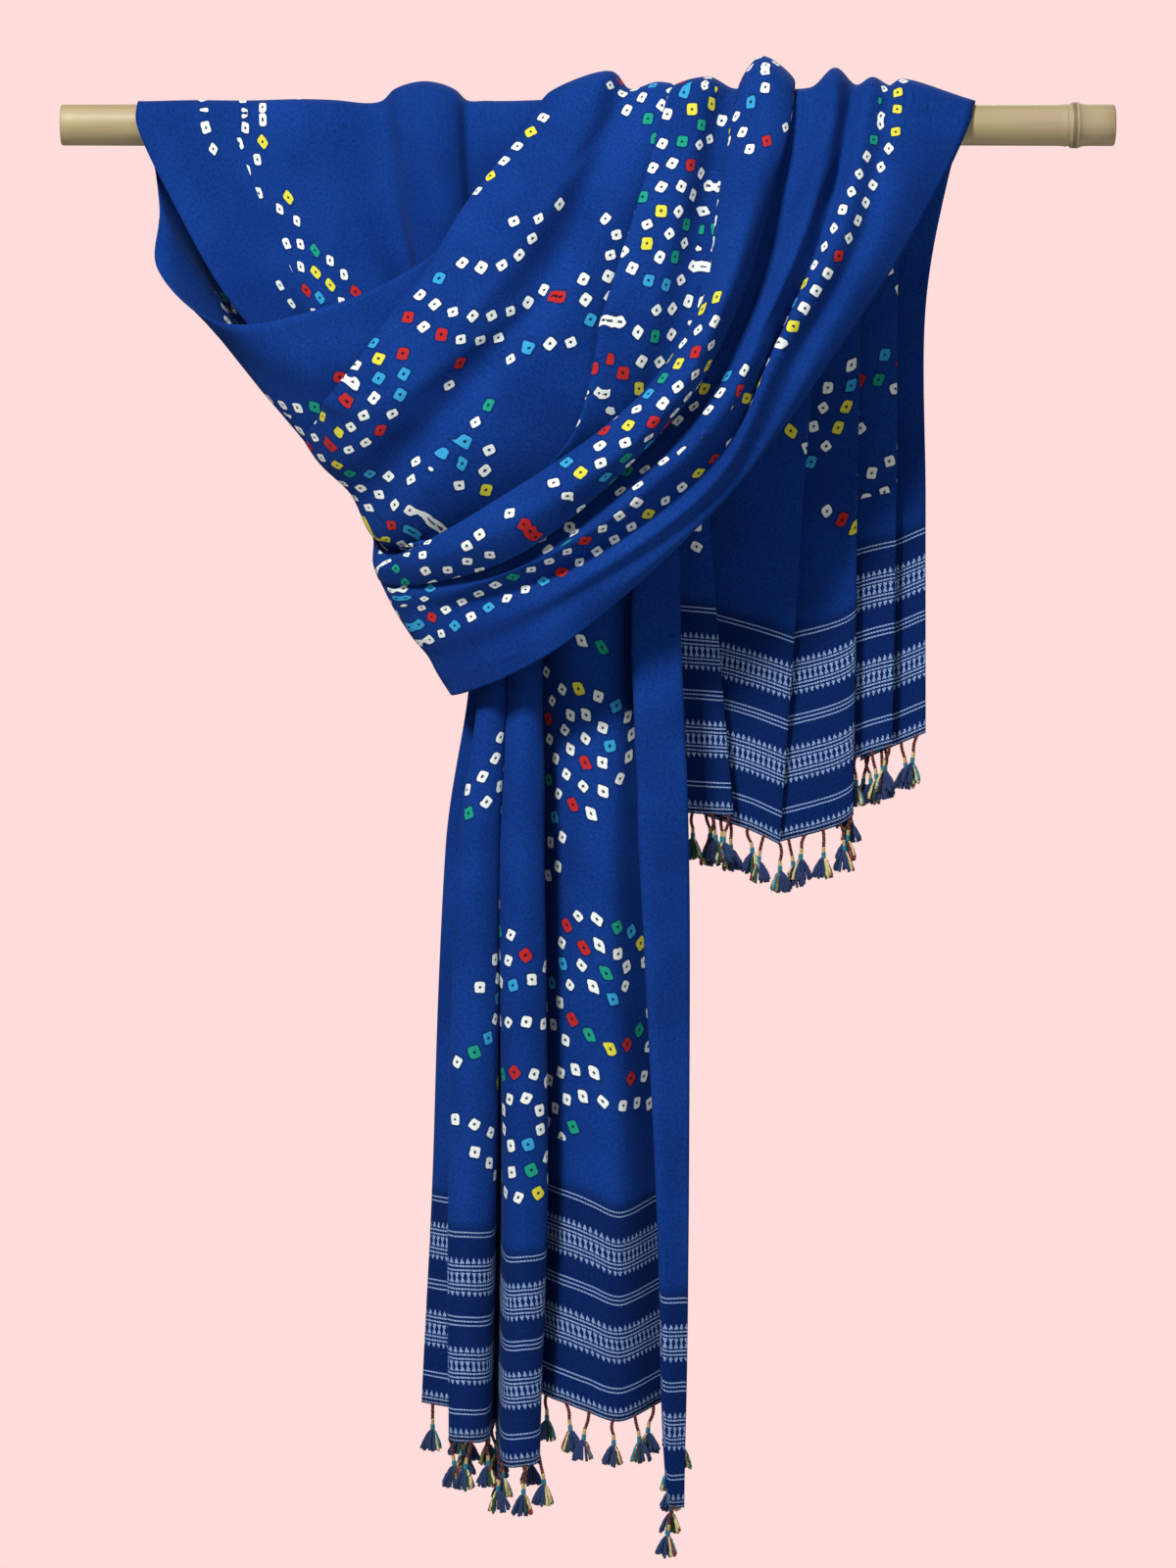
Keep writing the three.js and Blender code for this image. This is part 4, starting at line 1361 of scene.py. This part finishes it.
@dataclass
class FlatCut:
    """Finds where the points of the hung strip lie on the flat cloth.

    The strip is eased out flat as a net of springs. They keep the lengths and angles of the cloth
    that faces out, and the cloth inside the folds takes up what is left over. The rows next to
    both hems stay as they are first laid, straight along the hem.
    """

    columns: int = 88
    rounds: int = 700
    momentum: float = 0.95
    least: float = 0.2
    slack: float = 1.02
    diagonal: float = 0.6
    still_start: int = 15
    still_end: int = 17

    def read(self, values: np.ndarray, rows: np.ndarray, columns: np.ndarray) -> np.ndarray:
        """Reads a table between its entries.

        Args:
            values: the table.
            rows: where to read, as shares of its rows.
            columns: the same for its columns.

        Returns:
            What was read, rows by columns.
        """
        down = rows * (values.shape[0] - 1)
        right = columns * (values.shape[1] - 1)
        top = np.minimum(down.astype(int), values.shape[0] - 2)
        left = np.minimum(right.astype(int), values.shape[1] - 2)
        below, aside = (down - top)[:, None], (right - left)[None, :]
        upper = values[top][:, left] * (1 - aside) + values[top][:, left + 1] * aside
        lower = values[top + 1][:, left] * (1 - aside) + values[top + 1][:, left + 1] * aside
        return upper * (1 - below) + lower * below

    def measures(self, net: np.ndarray, steps: int, firmness: float) -> dict[str, np.ndarray]:
        """Measures a net on a coarser one.

        Args:
            net: the stretch.
            steps: rows of the coarser net.
            firmness: how well its lengths are kept.

        Returns:
            Lengths across and along, the cosine between them, and how firmly each cell keeps them.
        """
        rows, columns = np.linspace(0, 1, steps + 1), np.linspace(0, 1, self.columns)
        across = np.diff(self.read(lengths_along(net, 1), rows, columns), axis=1)
        along = np.diff(self.read(lengths_along(net, 0), rows, columns), axis=0)
        cosine = (unit(np.gradient(net, axis=1)) * unit(np.gradient(net, axis=0))).sum(axis=-1)
        mid_rows, mid_columns = (rows[1:] + rows[:-1]) / 2, (columns[1:] + columns[:-1]) / 2
        slant = self.read(cosine, mid_rows, mid_columns)
        facing = normals_of(net)[..., 1]
        facing = facing * np.sign(facing.mean())
        hold = np.clip(self.read(facing, mid_rows, mid_columns), 0, 1) ** 2
        return {"across": across, "along": along, "slant": slant,
                "hold": np.maximum(hold * firmness, self.least)}

    def ease(self, across: np.ndarray, along: np.ndarray, slant: np.ndarray,
             hold: np.ndarray) -> np.ndarray:
        """Eases the strip out flat.

        Args:
            across: lengths between columns.
            along: lengths between rows.
            slant: cosines between the two, cell by cell.
            hold: how firmly each cell keeps its measures.

        Returns:
            Places on the flat cloth, rows by columns by 2.
        """
        pad = np.pad(hold, 1, mode="edge")
        hold_across = np.minimum(pad[:-1, 1:-1], pad[1:, 1:-1])
        hold_along = np.minimum(pad[1:-1, :-1], pad[1:-1, 1:])
        spare = CLOTH_WIDTH - across.sum(axis=1, keepdims=True)
        loose = across * (self.slack - np.minimum(hold_across, 1.0)) ** 2
        flat_x = np.cumsum(across + spare * loose / loose.sum(axis=1, keepdims=True), axis=1)
        spare = CLOTH_LENGTH - along.sum(axis=0, keepdims=True)
        loose = along * (self.slack - np.minimum(hold_along, 1.0)) ** 2
        loose[:self.still_start - 1] = loose[1 - self.still_end:] = 0
        flat_y = np.cumsum(along + spare * loose / loose.sum(axis=0, keepdims=True), axis=0)
        places = np.zeros((len(across), self.columns, 2))
        places[:, 1:, 0] = flat_x
        places[1:, :, 1] = flat_y
        wide, long = (across[1:] + across[:-1]) / 2, (along[:, 1:] + along[:, :-1]) / 2
        lean = 2 * wide * long * slant
        square = wide ** 2 + long ** 2
        slanting = hold * self.diagonal
        whole, first, last = slice(None), slice(None, -1), slice(1, None)
        springs = (
            ((whole, first), (whole, last), across, hold_across),
            ((first, whole), (last, whole), along, hold_along),
            ((first, first), (last, last), np.sqrt(np.maximum(square + lean, 1.0)), slanting),
            ((first, last), (last, first), np.sqrt(np.maximum(square - lean, 1.0)), slanting),
        )
        speed = np.zeros_like(places)
        for _ in range(self.rounds):
            pull = np.zeros_like(places)
            share = np.zeros(places.shape[:2])
            for start, end, rest, firm in springs:
                way = places[end] - places[start]
                squeeze = rest / np.maximum(np.linalg.norm(way, axis=-1), 1e-6)
                stiff = np.maximum(firm, np.minimum(firm * squeeze ** 2, 1.0))
                tug = way * (stiff * 0.5 * (1 - squeeze))[..., None]
                pull[start] += tug
                pull[end] -= tug
                share[start] += stiff
                share[end] += stiff
            speed = speed * self.momentum + pull / share[..., None]
            speed[:, 0, 0] = speed[:, -1, 0] = 0
            speed[:self.still_start] = speed[-self.still_end:] = 0
            places += speed
        return places

    def lay(self, nets: list[np.ndarray], steps: list[int], firmness: list[float]) -> list[np.ndarray]:
        """Finds the flat places of all the stretches together.

        Args:
            nets: the stretches in order, each starting where the last ends.
            steps: rows of the coarse net for each.
            firmness: how well each keeps its lengths.

        Returns:
            For each net, its points' places in millimetres across and along the flat cloth.
        """
        parts = [self.measures(net, count, firm) for net, count, firm in zip(nets, steps, firmness)]
        across = np.concatenate([parts[0]["across"]] + [part["across"][1:] for part in parts[1:]])
        joined = [np.concatenate([part[name] for part in parts])
                  for name in ("along", "slant", "hold")]
        places = self.ease(across, *joined)
        laid, start = [], 0
        for net, count in zip(nets, steps):
            coarse = places[start:start + count + 1]
            fine = smooth_run(coarse, np.linspace(0, count, net.shape[0]))
            columns = np.linspace(0, self.columns - 1, net.shape[1])
            turned = smooth_run(np.swapaxes(fine, 0, 1), columns)
            laid.append(np.swapaxes(turned, 0, 1))
            start += count
        return laid


@dataclass
class ClothStretch:
    """One stretch of the strip of cloth, from its net of points."""

    name: str
    node: str
    net: np.ndarray
    flat: np.ndarray
    creases: tuple[Crease, ...]
    waves: int = 14
    wave_height: float = 0.16
    wave_across: tuple[float, float] = (0.02, 0.10)
    wave_along: tuple[float, float] = (0.004, 0.03)

    def creased(self) -> np.ndarray:
        """The net with its creases and a faint unevenness.

        Returns:
            The points, moved along the cloth's normals.
        """
        rows, columns = self.net.shape[:2]
        across = lengths_along(self.net, 1)
        total = across[:, -1:]
        share = np.linspace(0, 1, rows)[:, None]
        shift = np.zeros((rows, columns))
        for crease in self.creases:
            start, end = crease.along_from, crease.along_to
            run = np.clip((share - start) / (end - start), 0, 1)
            middle = (crease.across_from + (crease.across_to - crease.across_from) * run) * total
            fade = np.sin(np.pi * run) ** 0.7 * ((share > start) & (share < end))
            shift += crease.depth * fade * np.exp(-(((across - middle) / crease.width) ** 2))
        draw = np.random.default_rng(SEED + len(self.name))
        along = lengths_along(self.net, 0)
        for _ in range(self.waves):
            wave_x, wave_y = draw.uniform(*self.wave_across), draw.uniform(*self.wave_along)
            phase = draw.uniform(0, 2 * math.pi)
            way = across * wave_x + along * wave_y * draw.choice([-1, 1])
            shift += self.wave_height * np.sin(way + phase)
        return self.net + normals_of(self.net) * shift[..., None]

    def build(self, material: bpy.types.Material, flat_length: float, held: str) -> bpy.types.Object:
        """Makes the sheet.

        Args:
            material: the cloth's finish.
            flat_length: the length that was cut for this stretch, in millimetres; not used.
            held: how it hangs; not used.

        Returns:
            The object.
        """
        points = self.creased()
        rows, columns = points.shape[:2]
        number = np.arange(rows * columns).reshape(rows, columns)
        corners = (number[:-1, :-1], number[1:, :-1], number[1:, 1:], number[:-1, 1:])
        faces = np.stack(corners, axis=-1).reshape(-1, 4)
        thing = mesh_object(self.name, points.reshape(-1, 3), faces.tolist())
        layer = thing.data.uv_layers.new(name="cloth")
        places = self.flat.reshape(-1, 2)[faces.reshape(-1)] * MM
        layer.data.foreach_set("uv", places.astype(np.float32).reshape(-1))
        thing.data.materials.append(material)
        shell = thing.modifiers.new("thickness", "SOLIDIFY")
        shell.thickness = CLOTH_THICKNESS * MM
        shell.offset = 0.0
        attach(thing, BODY)
        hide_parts(self.node)
        widths = lengths_along(points, 1)[:, -1]
        lengths = lengths_along(points, 0)[-1]
        LOG.info("%s: %d points, %.0f to %.0f mm across, %.0f to %.0f mm along", self.name,
                 rows * columns, widths.min(), widths.max(), lengths.min(), lengths.max())
        return thing


@dataclass
class Drape:
    """The whole strip, laid stretch by stretch so that each carries on from the last."""

    across: int = 9
    fall_across: int = 12
    along: int = 22
    back_rows: int = 120
    rise_rows: int = 100

    def swag_net(self) -> np.ndarray:
        """Lays the stretch in front.

        Returns:
            Its net, from the rod to just behind the turn.
        """
        free = ("upper", "middle", "lower", "near", "turn", "behind")
        lines = [round_the_rod(row["top"], row["front"]) + [sighted(row[name]) for name in free]
                 for row in with_tucks(SWAG_FOLDS, ("top", "front"), free)]
        return net_through(np.array(lines), self.across, self.along)

    def fall_net(self) -> np.ndarray:
        """Lays the long end.

        Returns:
            Its net, from the rod to its hem.
        """
        free = ("upper", "middle", "lower", "cinch", "chest", "knee", "hem")
        lines = [round_the_rod(row.top, row.front) + [sighted(getattr(row, name)) for name in free]
                 for row in FALL_FOLDS]
        return net_through(np.array(lines), self.fall_across, self.along)

    def carried_on(self, before: np.ndarray, start: np.ndarray, sections: list[np.ndarray],
                   after: list[np.ndarray], steps: int) -> np.ndarray:
        """Carries a net on from a finished edge through new sections.

        Args:
            before: the finished net just before its edge.
            start: that edge.
            sections: the new sections' fold points.
            after: the sections of the net that it runs into, the first of them its own last.
            steps: rows of the new net.

        Returns:
            The new net, whose first row is the edge.
        """
        count = len(start)
        laid = [section_at(section, count) for section in sections + after]
        stack = np.stack([before, start] + laid)
        last = len(stack) - 1 - (1 if len(after) > 1 else 0)
        return smooth_run(stack, np.linspace(1, last, steps + 1))

    def back_net(self, swag: np.ndarray) -> np.ndarray:
        """Lays the short end.

        Args:
            swag: the net that it carries on from.

        Returns:
            Its net, from the rod's far side to its hem.
        """
        free = ("upper", "middle", "hem")
        rows = with_tucks(BACK_FOLDS, ("back",), free)
        sections = [np.array([over_rod(*row["back"], BACK_ANGLE) for row in rows])]
        sections += [np.array([sighted(row[name]) for row in rows]) for name in free]
        return self.carried_on(swag[self.along // 2], swag[0], sections, [], self.back_rows)

    def rise_net(self, swag: np.ndarray, fall: np.ndarray) -> np.ndarray:
        """Lays the stretch behind.

        Args:
            swag: the net that it carries on from.
            fall: the net that it runs into.

        Returns:
            Its net, from the turn up to the left half of the rod.
        """
        places = [round(row.share * (len(fall[0]) - 1)) for row in RISE_FOLDS]
        rod = [over_rod(fall[0][place][0], RISE_LIFT, RISE_ANGLE) for place in places]
        sections = [np.array([sighted(row.low) for row in RISE_FOLDS]),
                    np.array([sighted(row.high) for row in RISE_FOLDS]), np.array(rod)]
        return self.carried_on(swag[-1 - self.along // 2], swag[-1], sections,
                               [fall[0], fall[self.along // 2]], self.rise_rows)


SWAG_CREASES = (
    Crease(0.10, 0.09, 0.34, 0.86, 9, -1.6),
    Crease(0.20, 0.17, 0.30, 0.70, 7, 1.5),
    Crease(0.27, 0.25, 0.36, 0.90, 8, -1.8),
    Crease(0.40, 0.43, 0.34, 0.66, 6, -1.4),
    Crease(0.58, 0.60, 0.42, 0.92, 7, -2.0),
    Crease(0.83, 0.80, 0.30, 0.74, 8, 1.8),
    Crease(0.90, 0.93, 0.40, 0.88, 10, -2.0),
)
FALL_CREASES = (
    Crease(0.06, 0.16, 0.30, 0.60, 12, -1.5),
    Crease(0.20, 0.30, 0.32, 0.62, 9, 1.6),
    Crease(0.33, 0.36, 0.30, 0.58, 9, -1.4),
    Crease(0.68, 0.70, 0.62, 0.98, 10, 1.4),
    Crease(0.76, 0.75, 0.60, 0.96, 9, -1.6),
)
BACK_CREASES = (
    Crease(0.12, 0.14, 0.30, 0.96, 9, -1.6),
    Crease(0.44, 0.46, 0.36, 0.98, 6, -1.5),
    Crease(0.66, 0.67, 0.30, 0.90, 8, 1.4),
)
RISE_CREASES = (
    Crease(0.20, 0.30, 0.10, 0.85, 10, -2.4),
    Crease(0.52, 0.50, 0.15, 0.90, 9, 2.2),
    Crease(0.80, 0.72, 0.10, 0.80, 11, -2.4),
)


# ------------------------------------------------------------------ tassels


@dataclass
class Strands:
    """A growing mesh of yarns, each a thin tube with a material of its own."""

    vertices: list = field(default_factory=list)
    faces: list = field(default_factory=list)
    slots: list = field(default_factory=list)
    count: int = 0

    def tube(self, path: np.ndarray, radius: np.ndarray, yarn: Yarn, sides: int) -> None:
        """Adds one closed tube.

        Args:
            path: its middle line.
            radius: its radius at each point.
            yarn: what it is spun of.
            sides: how many sides it has.
        """
        steps = len(path)
        heading = unit(np.gradient(path, axis=0))
        helper = (1.0, 0.0, 0.0) if abs(heading[0][0]) < 0.8 else (0.0, 1.0, 0.0)
        side = unit(np.cross(heading, np.array(helper)))
        other = np.cross(heading, side)
        spin = np.linspace(0, 2 * math.pi, sides, endpoint=False)[None, :, None]
        ring = side[:, None] * np.cos(spin) + other[:, None] * np.sin(spin)
        points = path[:, None] + ring * radius[:, None, None]
        self.vertices.append(points.reshape(-1, 3))
        base = self.count
        for step in range(steps - 1):
            for k in range(sides):
                low, high = base + step * sides + k, base + step * sides + (k + 1) % sides
                self.faces.append((low, high, high + sides, low + sides))
        self.faces.append(tuple(base + k for k in reversed(range(sides))))
        self.faces.append(tuple(base + (steps - 1) * sides + k for k in range(sides)))
        self.slots.extend([yarn.value] * ((steps - 1) * sides + 2))
        self.count += steps * sides

    def build(self, name: str, finishes: list[bpy.types.Material]) -> bpy.types.Object:
        """Makes the object of all the yarns.

        Args:
            name: the object's name.
            finishes: the yarns' materials, in the order of the yarns.

        Returns:
            The object.
        """
        thing = mesh_object(name, np.concatenate(self.vertices), self.faces)
        for finish in finishes:
            thing.data.materials.append(finish)
        thing.data.polygons.foreach_set("material_index", self.slots)
        return thing


@dataclass
class TasselRow:
    """The tassels along one hem."""

    name: str
    node: str
    hem: np.ndarray
    count: int = 30
    stem: float = 10.5
    wrap: float = 4.3
    neck: float = 3.6
    tuft: float = 13.5
    spread: float = 7.6
    locks: int = 34
    palette: tuple[Yarn, ...] = (
        Yarn.CREAM, Yarn.TURQUOISE, Yarn.RED, Yarn.CREAM, Yarn.GREEN) + (Yarn.BLUE,) * 6
    ply_radius: float = 0.72
    ply_coil: float = 0.62
    ply_turns: float = 3.2
    wrap_radius: float = 1.15
    neck_radius: float = 1.5
    rib: float = 0.22
    sway: float = 4.0

    def root(self, share: float) -> np.ndarray:
        """Finds where a tassel is tied.

        Args:
            share: how far along the hem, from 0 to 1.

        Returns:
            The point on the hem.
        """
        steps = np.linalg.norm(np.diff(self.hem, axis=0), axis=1)
        lengths = np.concatenate([[0], np.cumsum(steps)])
        want = share * lengths[-1]
        return np.array([np.interp(want, lengths, self.hem[:, axis]) for axis in range(3)])

    def twist(self, strands: Strands, start: np.ndarray, end: np.ndarray, phase: float) -> None:
        """Adds the two-ply cord of a tassel's stem.

        Args:
            strands: what it is added to.
            start: its upper end.
            end: its lower end.
            phase: the angle at which its plies start.
        """
        along = np.linspace(0, 1, 20)
        line = start + (end - start) * along[:, None]
        line[:, 0] += 1.2 * np.sin(math.pi * along) * math.sin(phase)
        for ply, yarn in enumerate((Yarn.BLACK, Yarn.RED)):
            angle = 2 * math.pi * self.ply_turns * along + math.pi * ply + phase
            coil = np.stack([np.cos(angle), np.sin(angle), np.zeros_like(angle)], axis=1)
            strands.tube(line + coil * self.ply_coil, np.full(20, self.ply_radius), yarn, 5)

    def bound(self, strands: Strands, start: np.ndarray, end: np.ndarray, radius: float,
              yarn: Yarn) -> None:
        """Adds a stretch bound with seven turns of thread.

        Args:
            strands: what it is added to.
            start: its upper end.
            end: its lower end.
            radius: its middle radius.
            yarn: the thread.
        """
        along = np.linspace(0, 1, 15)
        ribs = radius + self.rib * np.cos(along * math.pi * 14)
        ribs[0] = ribs[-1] = radius * 0.6
        strands.tube(start + (end - start) * along[:, None], ribs, yarn, 8)

    def tuft_of(self, strands: Strands, neck: np.ndarray, draw: np.random.Generator) -> None:
        """Adds the fan of loose yarn at a tassel's foot.

        Args:
            strands: what it is added to.
            neck: where it comes out of the binding.
            draw: the source of chance.
        """
        side = draw.choice([-1.0, 1.0])
        along = np.linspace(0, 1, 8)
        for lock in range(self.locks):
            share = min(max((lock + draw.uniform(-0.4, 0.4)) / (self.locks - 1), 0.0), 1.0)
            roundness = math.sin(math.pi * (0.16 + 0.76 * share)) ** 0.4
            reach = self.spread * (0.60 + 0.55 * share) * roundness
            angle = math.pi * (share + 0.08 * draw.uniform(-1, 1))
            length = self.tuft * (0.82 + 0.24 * math.sin(math.pi * share) ** 0.8)
            length *= draw.uniform(0.86, 1.06)
            depth = draw.uniform(-1, 1)
            belly = 1.25 * along ** 0.6
            path = np.stack([
                neck[0] - side * reach * math.cos(angle) * belly,
                neck[1] + 0.30 * self.spread * depth * belly,
                neck[2] - length * along,
            ], axis=1)
            path[1:-1] += draw.normal(0, 0.14, (6, 3))
            radius = np.linspace(0.62, 0.98, 8)
            yarn = self.palette[min(int(share * len(self.palette)), len(self.palette) - 1)]
            strands.tube(path, radius, yarn, 5)

    def build(self, finishes: list[bpy.types.Material]) -> bpy.types.Object:
        """Makes the row as one object.

        Args:
            finishes: the yarns' materials, in the order of the yarns.

        Returns:
            The object.
        """
        draw = np.random.default_rng(SEED + self.count + len(self.name))
        strands = Strands()
        for k in range(self.count):
            root = self.root((k + 0.5) / self.count) + np.array((0, 0, 1.0))
            stem = self.stem * draw.uniform(0.88, 1.12)
            sway = self.sway * math.sin(2.1 * k)
            foot = root + np.array((sway * 0.75, -1.2, -stem))
            chin = foot + np.array((sway * 0.15, 0, -self.wrap))
            neck = chin + np.array((sway * 0.1, 0, -self.neck))
            self.twist(strands, root, foot + np.array((0, 0, -0.5)), 1.7 * k)
            self.bound(strands, foot, chin, self.wrap_radius, Yarn.GOLD)
            collar = chin + np.array((0, 0, 0.6))
            self.bound(strands, collar, neck, self.neck_radius, Yarn.TURQUOISE)
            self.tuft_of(strands, neck + np.array((0, 0, 0.8)), draw)
        thing = strands.build(self.name, finishes)
        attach(thing, BODY)
        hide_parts(self.node)
        LOG.info("%s: %d tassels, %d faces", self.name, self.count, len(strands.faces))
        return thing


# ------------------------------------------------------------------ rod


@dataclass
class BambooPole:
    """The pole that holds the shawl."""

    swell: float = 1.5
    lip: float = 0.5
    scar: float = 0.9
    edge: float = 0.8
    bore: float = 6.0
    bore_depth: float = 12.0
    sides: int = 72

    def profile(self) -> list[Lift]:
        """Draws the pole's outline.

        Returns:
            Distance along and radius, from inside one bore over the pole to inside the other.
        """
        half = ROD_LENGTH / 2
        along = np.unique(np.concatenate([
            np.linspace(-half + self.edge, half - self.edge, 90),
            *[np.linspace(ring - 14, ring + 14, 41) for ring in ROD_RINGS],
        ]))
        along = along[np.abs(along) < half - 0.7]
        radius = np.full(len(along), ROD_RADIUS) + 0.18 * np.sin(along * 0.021) - 0.2
        for ring in ROD_RINGS:
            off = along - ring
            radius += self.swell * np.exp(-((off / 5.0) ** 2))
            radius -= self.scar * np.exp(-(((off + 3.6) / 0.9) ** 2))
            radius += self.lip * np.exp(-(((off - 2.6) / 1.1) ** 2))
        inner = half - self.bore_depth
        end = [(half, ROD_RADIUS - self.edge), (half, self.bore), (inner, self.bore), (inner, 0.01)]
        start = [(-at, reach) for at, reach in reversed(end)]
        return start + list(zip(along.tolist(), radius.tolist())) + end

    def build(self, finish: bpy.types.Material) -> bpy.types.Object:
        """Makes the pole.

        Args:
            finish: the bamboo's material.

        Returns:
            The object.
        """
        profile = np.array(self.profile())
        spin = np.linspace(0, 2 * math.pi, self.sides, endpoint=False)
        ring = np.stack([np.cos(spin), np.sin(spin)], axis=1)
        vertices = np.concatenate([
            np.column_stack([np.full(self.sides, at), ring * radius]) for at, radius in profile
        ])
        faces = []
        for step in range(len(profile) - 1):
            for k in range(self.sides):
                low = step * self.sides + k
                high = step * self.sides + (k + 1) % self.sides
                faces.append((low, low + self.sides, high + self.sides, high))
        thing = mesh_object("bamboo_pole", vertices, faces)
        thing.data.materials.append(finish)
        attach(thing, BODY)
        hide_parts("rod")
        LOG.info("bamboo_pole: %d faces", len(faces))
        return thing


# ------------------------------------------------------------------ studio


@dataclass
class Studio:
    """A pale floor, soft lights and the camera."""

    floor_drop: float = 1.34
    floor_radius: float = 1.5
    floor_sides: int = 96
    pale: tuple = (0.80, 0.77, 0.75, 1.0)
    backdrop: tuple = (1.0, 0.720, 0.710, 1.0)
    room: tuple = (0.12, 0.12, 0.13, 1.0)
    aim: Point = (0.0, 0.0, -0.35)
    sensor: float = 36.0

    def floor(self) -> None:
        """Lays the round floor below the shawl."""
        spin = np.linspace(0, 2 * math.pi, self.floor_sides, endpoint=False)
        rim = np.stack([np.cos(spin), np.sin(spin), np.zeros(self.floor_sides)], axis=1)
        rim *= self.floor_radius / MM
        rim[:, 2] = -self.floor_drop / MM
        thing = mesh_object("studio_floor", rim, [tuple(range(self.floor_sides))], smooth=False)
        material, _, shader = new_material("pale_floor")
        shader["Base Color"].default_value = self.pale
        shader["Roughness"].default_value = 0.9
        thing.data.materials.append(material)

    def light(self, name: str, place: Point, size: float, power: float, colour: Point) -> None:
        """Adds a square soft light that faces the shawl's middle.

        Args:
            name: its name.
            place: where it stands, in metres.
            size: the length of its sides.
            power: its power in watts.
            colour: its colour.
        """
        lamp = bpy.data.lights.new(name, "AREA")
        lamp.energy = power
        lamp.size = size
        lamp.color = colour
        thing = bpy.data.objects.new(name, lamp)
        thing.location = place
        aim = np.array(self.aim) - np.array(place)
        thing.rotation_euler = (
            math.atan2(math.hypot(aim[0], aim[1]), -aim[2]),
            0.0,
            math.atan2(-aim[0], aim[1]),
        )
        bpy.context.scene.collection.objects.link(thing)

    def world(self) -> None:
        """Fills the surroundings with an even pale light."""
        world = bpy.data.worlds.new("studio")
        world.use_nodes = True
        wiring = Wiring(world.node_tree)
        ground = world.node_tree.nodes["Background"]
        seen = wiring.add("ShaderNodeLightPath").outputs["Is Camera Ray"]
        wiring.feed(ground.inputs["Color"], wiring.mix(seen, self.room, self.backdrop))
        bpy.context.scene.world = world
        bpy.context.scene.view_settings.view_transform = "Standard"

    def camera(self) -> None:
        """Sets the long lens straight in front, at the height of the shawl's middle."""
        data = bpy.data.cameras.new("camera")
        data.sensor_width = self.sensor
        data.lens = self.sensor * EYE_DISTANCE / VIEW_HEIGHT
        data.clip_end = 50.0
        thing = bpy.data.objects.new("camera", data)
        thing.location = (0.0, -EYE_DISTANCE * MM, EYE_HEIGHT * MM)
        thing.rotation_euler = (math.pi / 2, 0.0, 0.0)
        bpy.context.scene.collection.objects.link(thing)
        bpy.context.scene.camera = thing

    def build(self) -> None:
        """Makes the whole studio."""
        self.floor()
        self.world()
        self.light("key", (-1.10, -2.35, 1.85), 0.6, 140.0, (1.0, 0.99, 0.97))
        self.light("fill", (1.5, -2.4, 0.2), 1.6, 14.0, (0.97, 0.98, 1.0))
        self.light("back", (0.6, 2.4, 1.2), 1.6, 40.0, (1.0, 1.0, 1.0))
        self.camera()


# ------------------------------------------------------------------ all together


def main() -> None:
    """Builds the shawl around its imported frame."""
    logging.basicConfig(level=logging.INFO, format="%(name)s: %(message)s")
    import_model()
    Studio().build()
    cloth = ShawlCloth().build(DotPattern(), WovenBorder())
    yarns = [finish.build() for finish in YARN_FINISHES]

    drape = Drape()
    swag = drape.swag_net()
    fall = drape.fall_net()
    back = drape.back_net(swag)
    rise = drape.rise_net(swag, fall)
    laid = FlatCut().lay([back[::-1], swag, rise, fall], FLAT_ROWS, FIRMNESS)
    short = ClothStretch("shawl_short_end", "back_fall", back, laid[0][::-1], BACK_CREASES)
    short.build(cloth, SHORT_END_LENGTH, "hung")
    front = ClothStretch("shawl_swag", "swag_front", swag, laid[1], SWAG_CREASES)
    front.build(cloth, SWAG_LENGTH, "draped")
    behind = ClothStretch("shawl_rise", "swag_back", rise, laid[2], RISE_CREASES)
    behind.build(cloth, RISE_LENGTH, "draped")
    long = ClothStretch("shawl_long_end", "front_fall", fall, laid[3], FALL_CREASES)
    long.build(cloth, LONG_END_LENGTH, "hung")
    TasselRow("tassels_short_end", "fringe_back", back[-1]).build(yarns)
    TasselRow("tassels_long_end", "fringe_front", fall[-1]).build(yarns)
    BambooPole().build(BambooFinish().build())


if __name__ == "__main__":
    main()
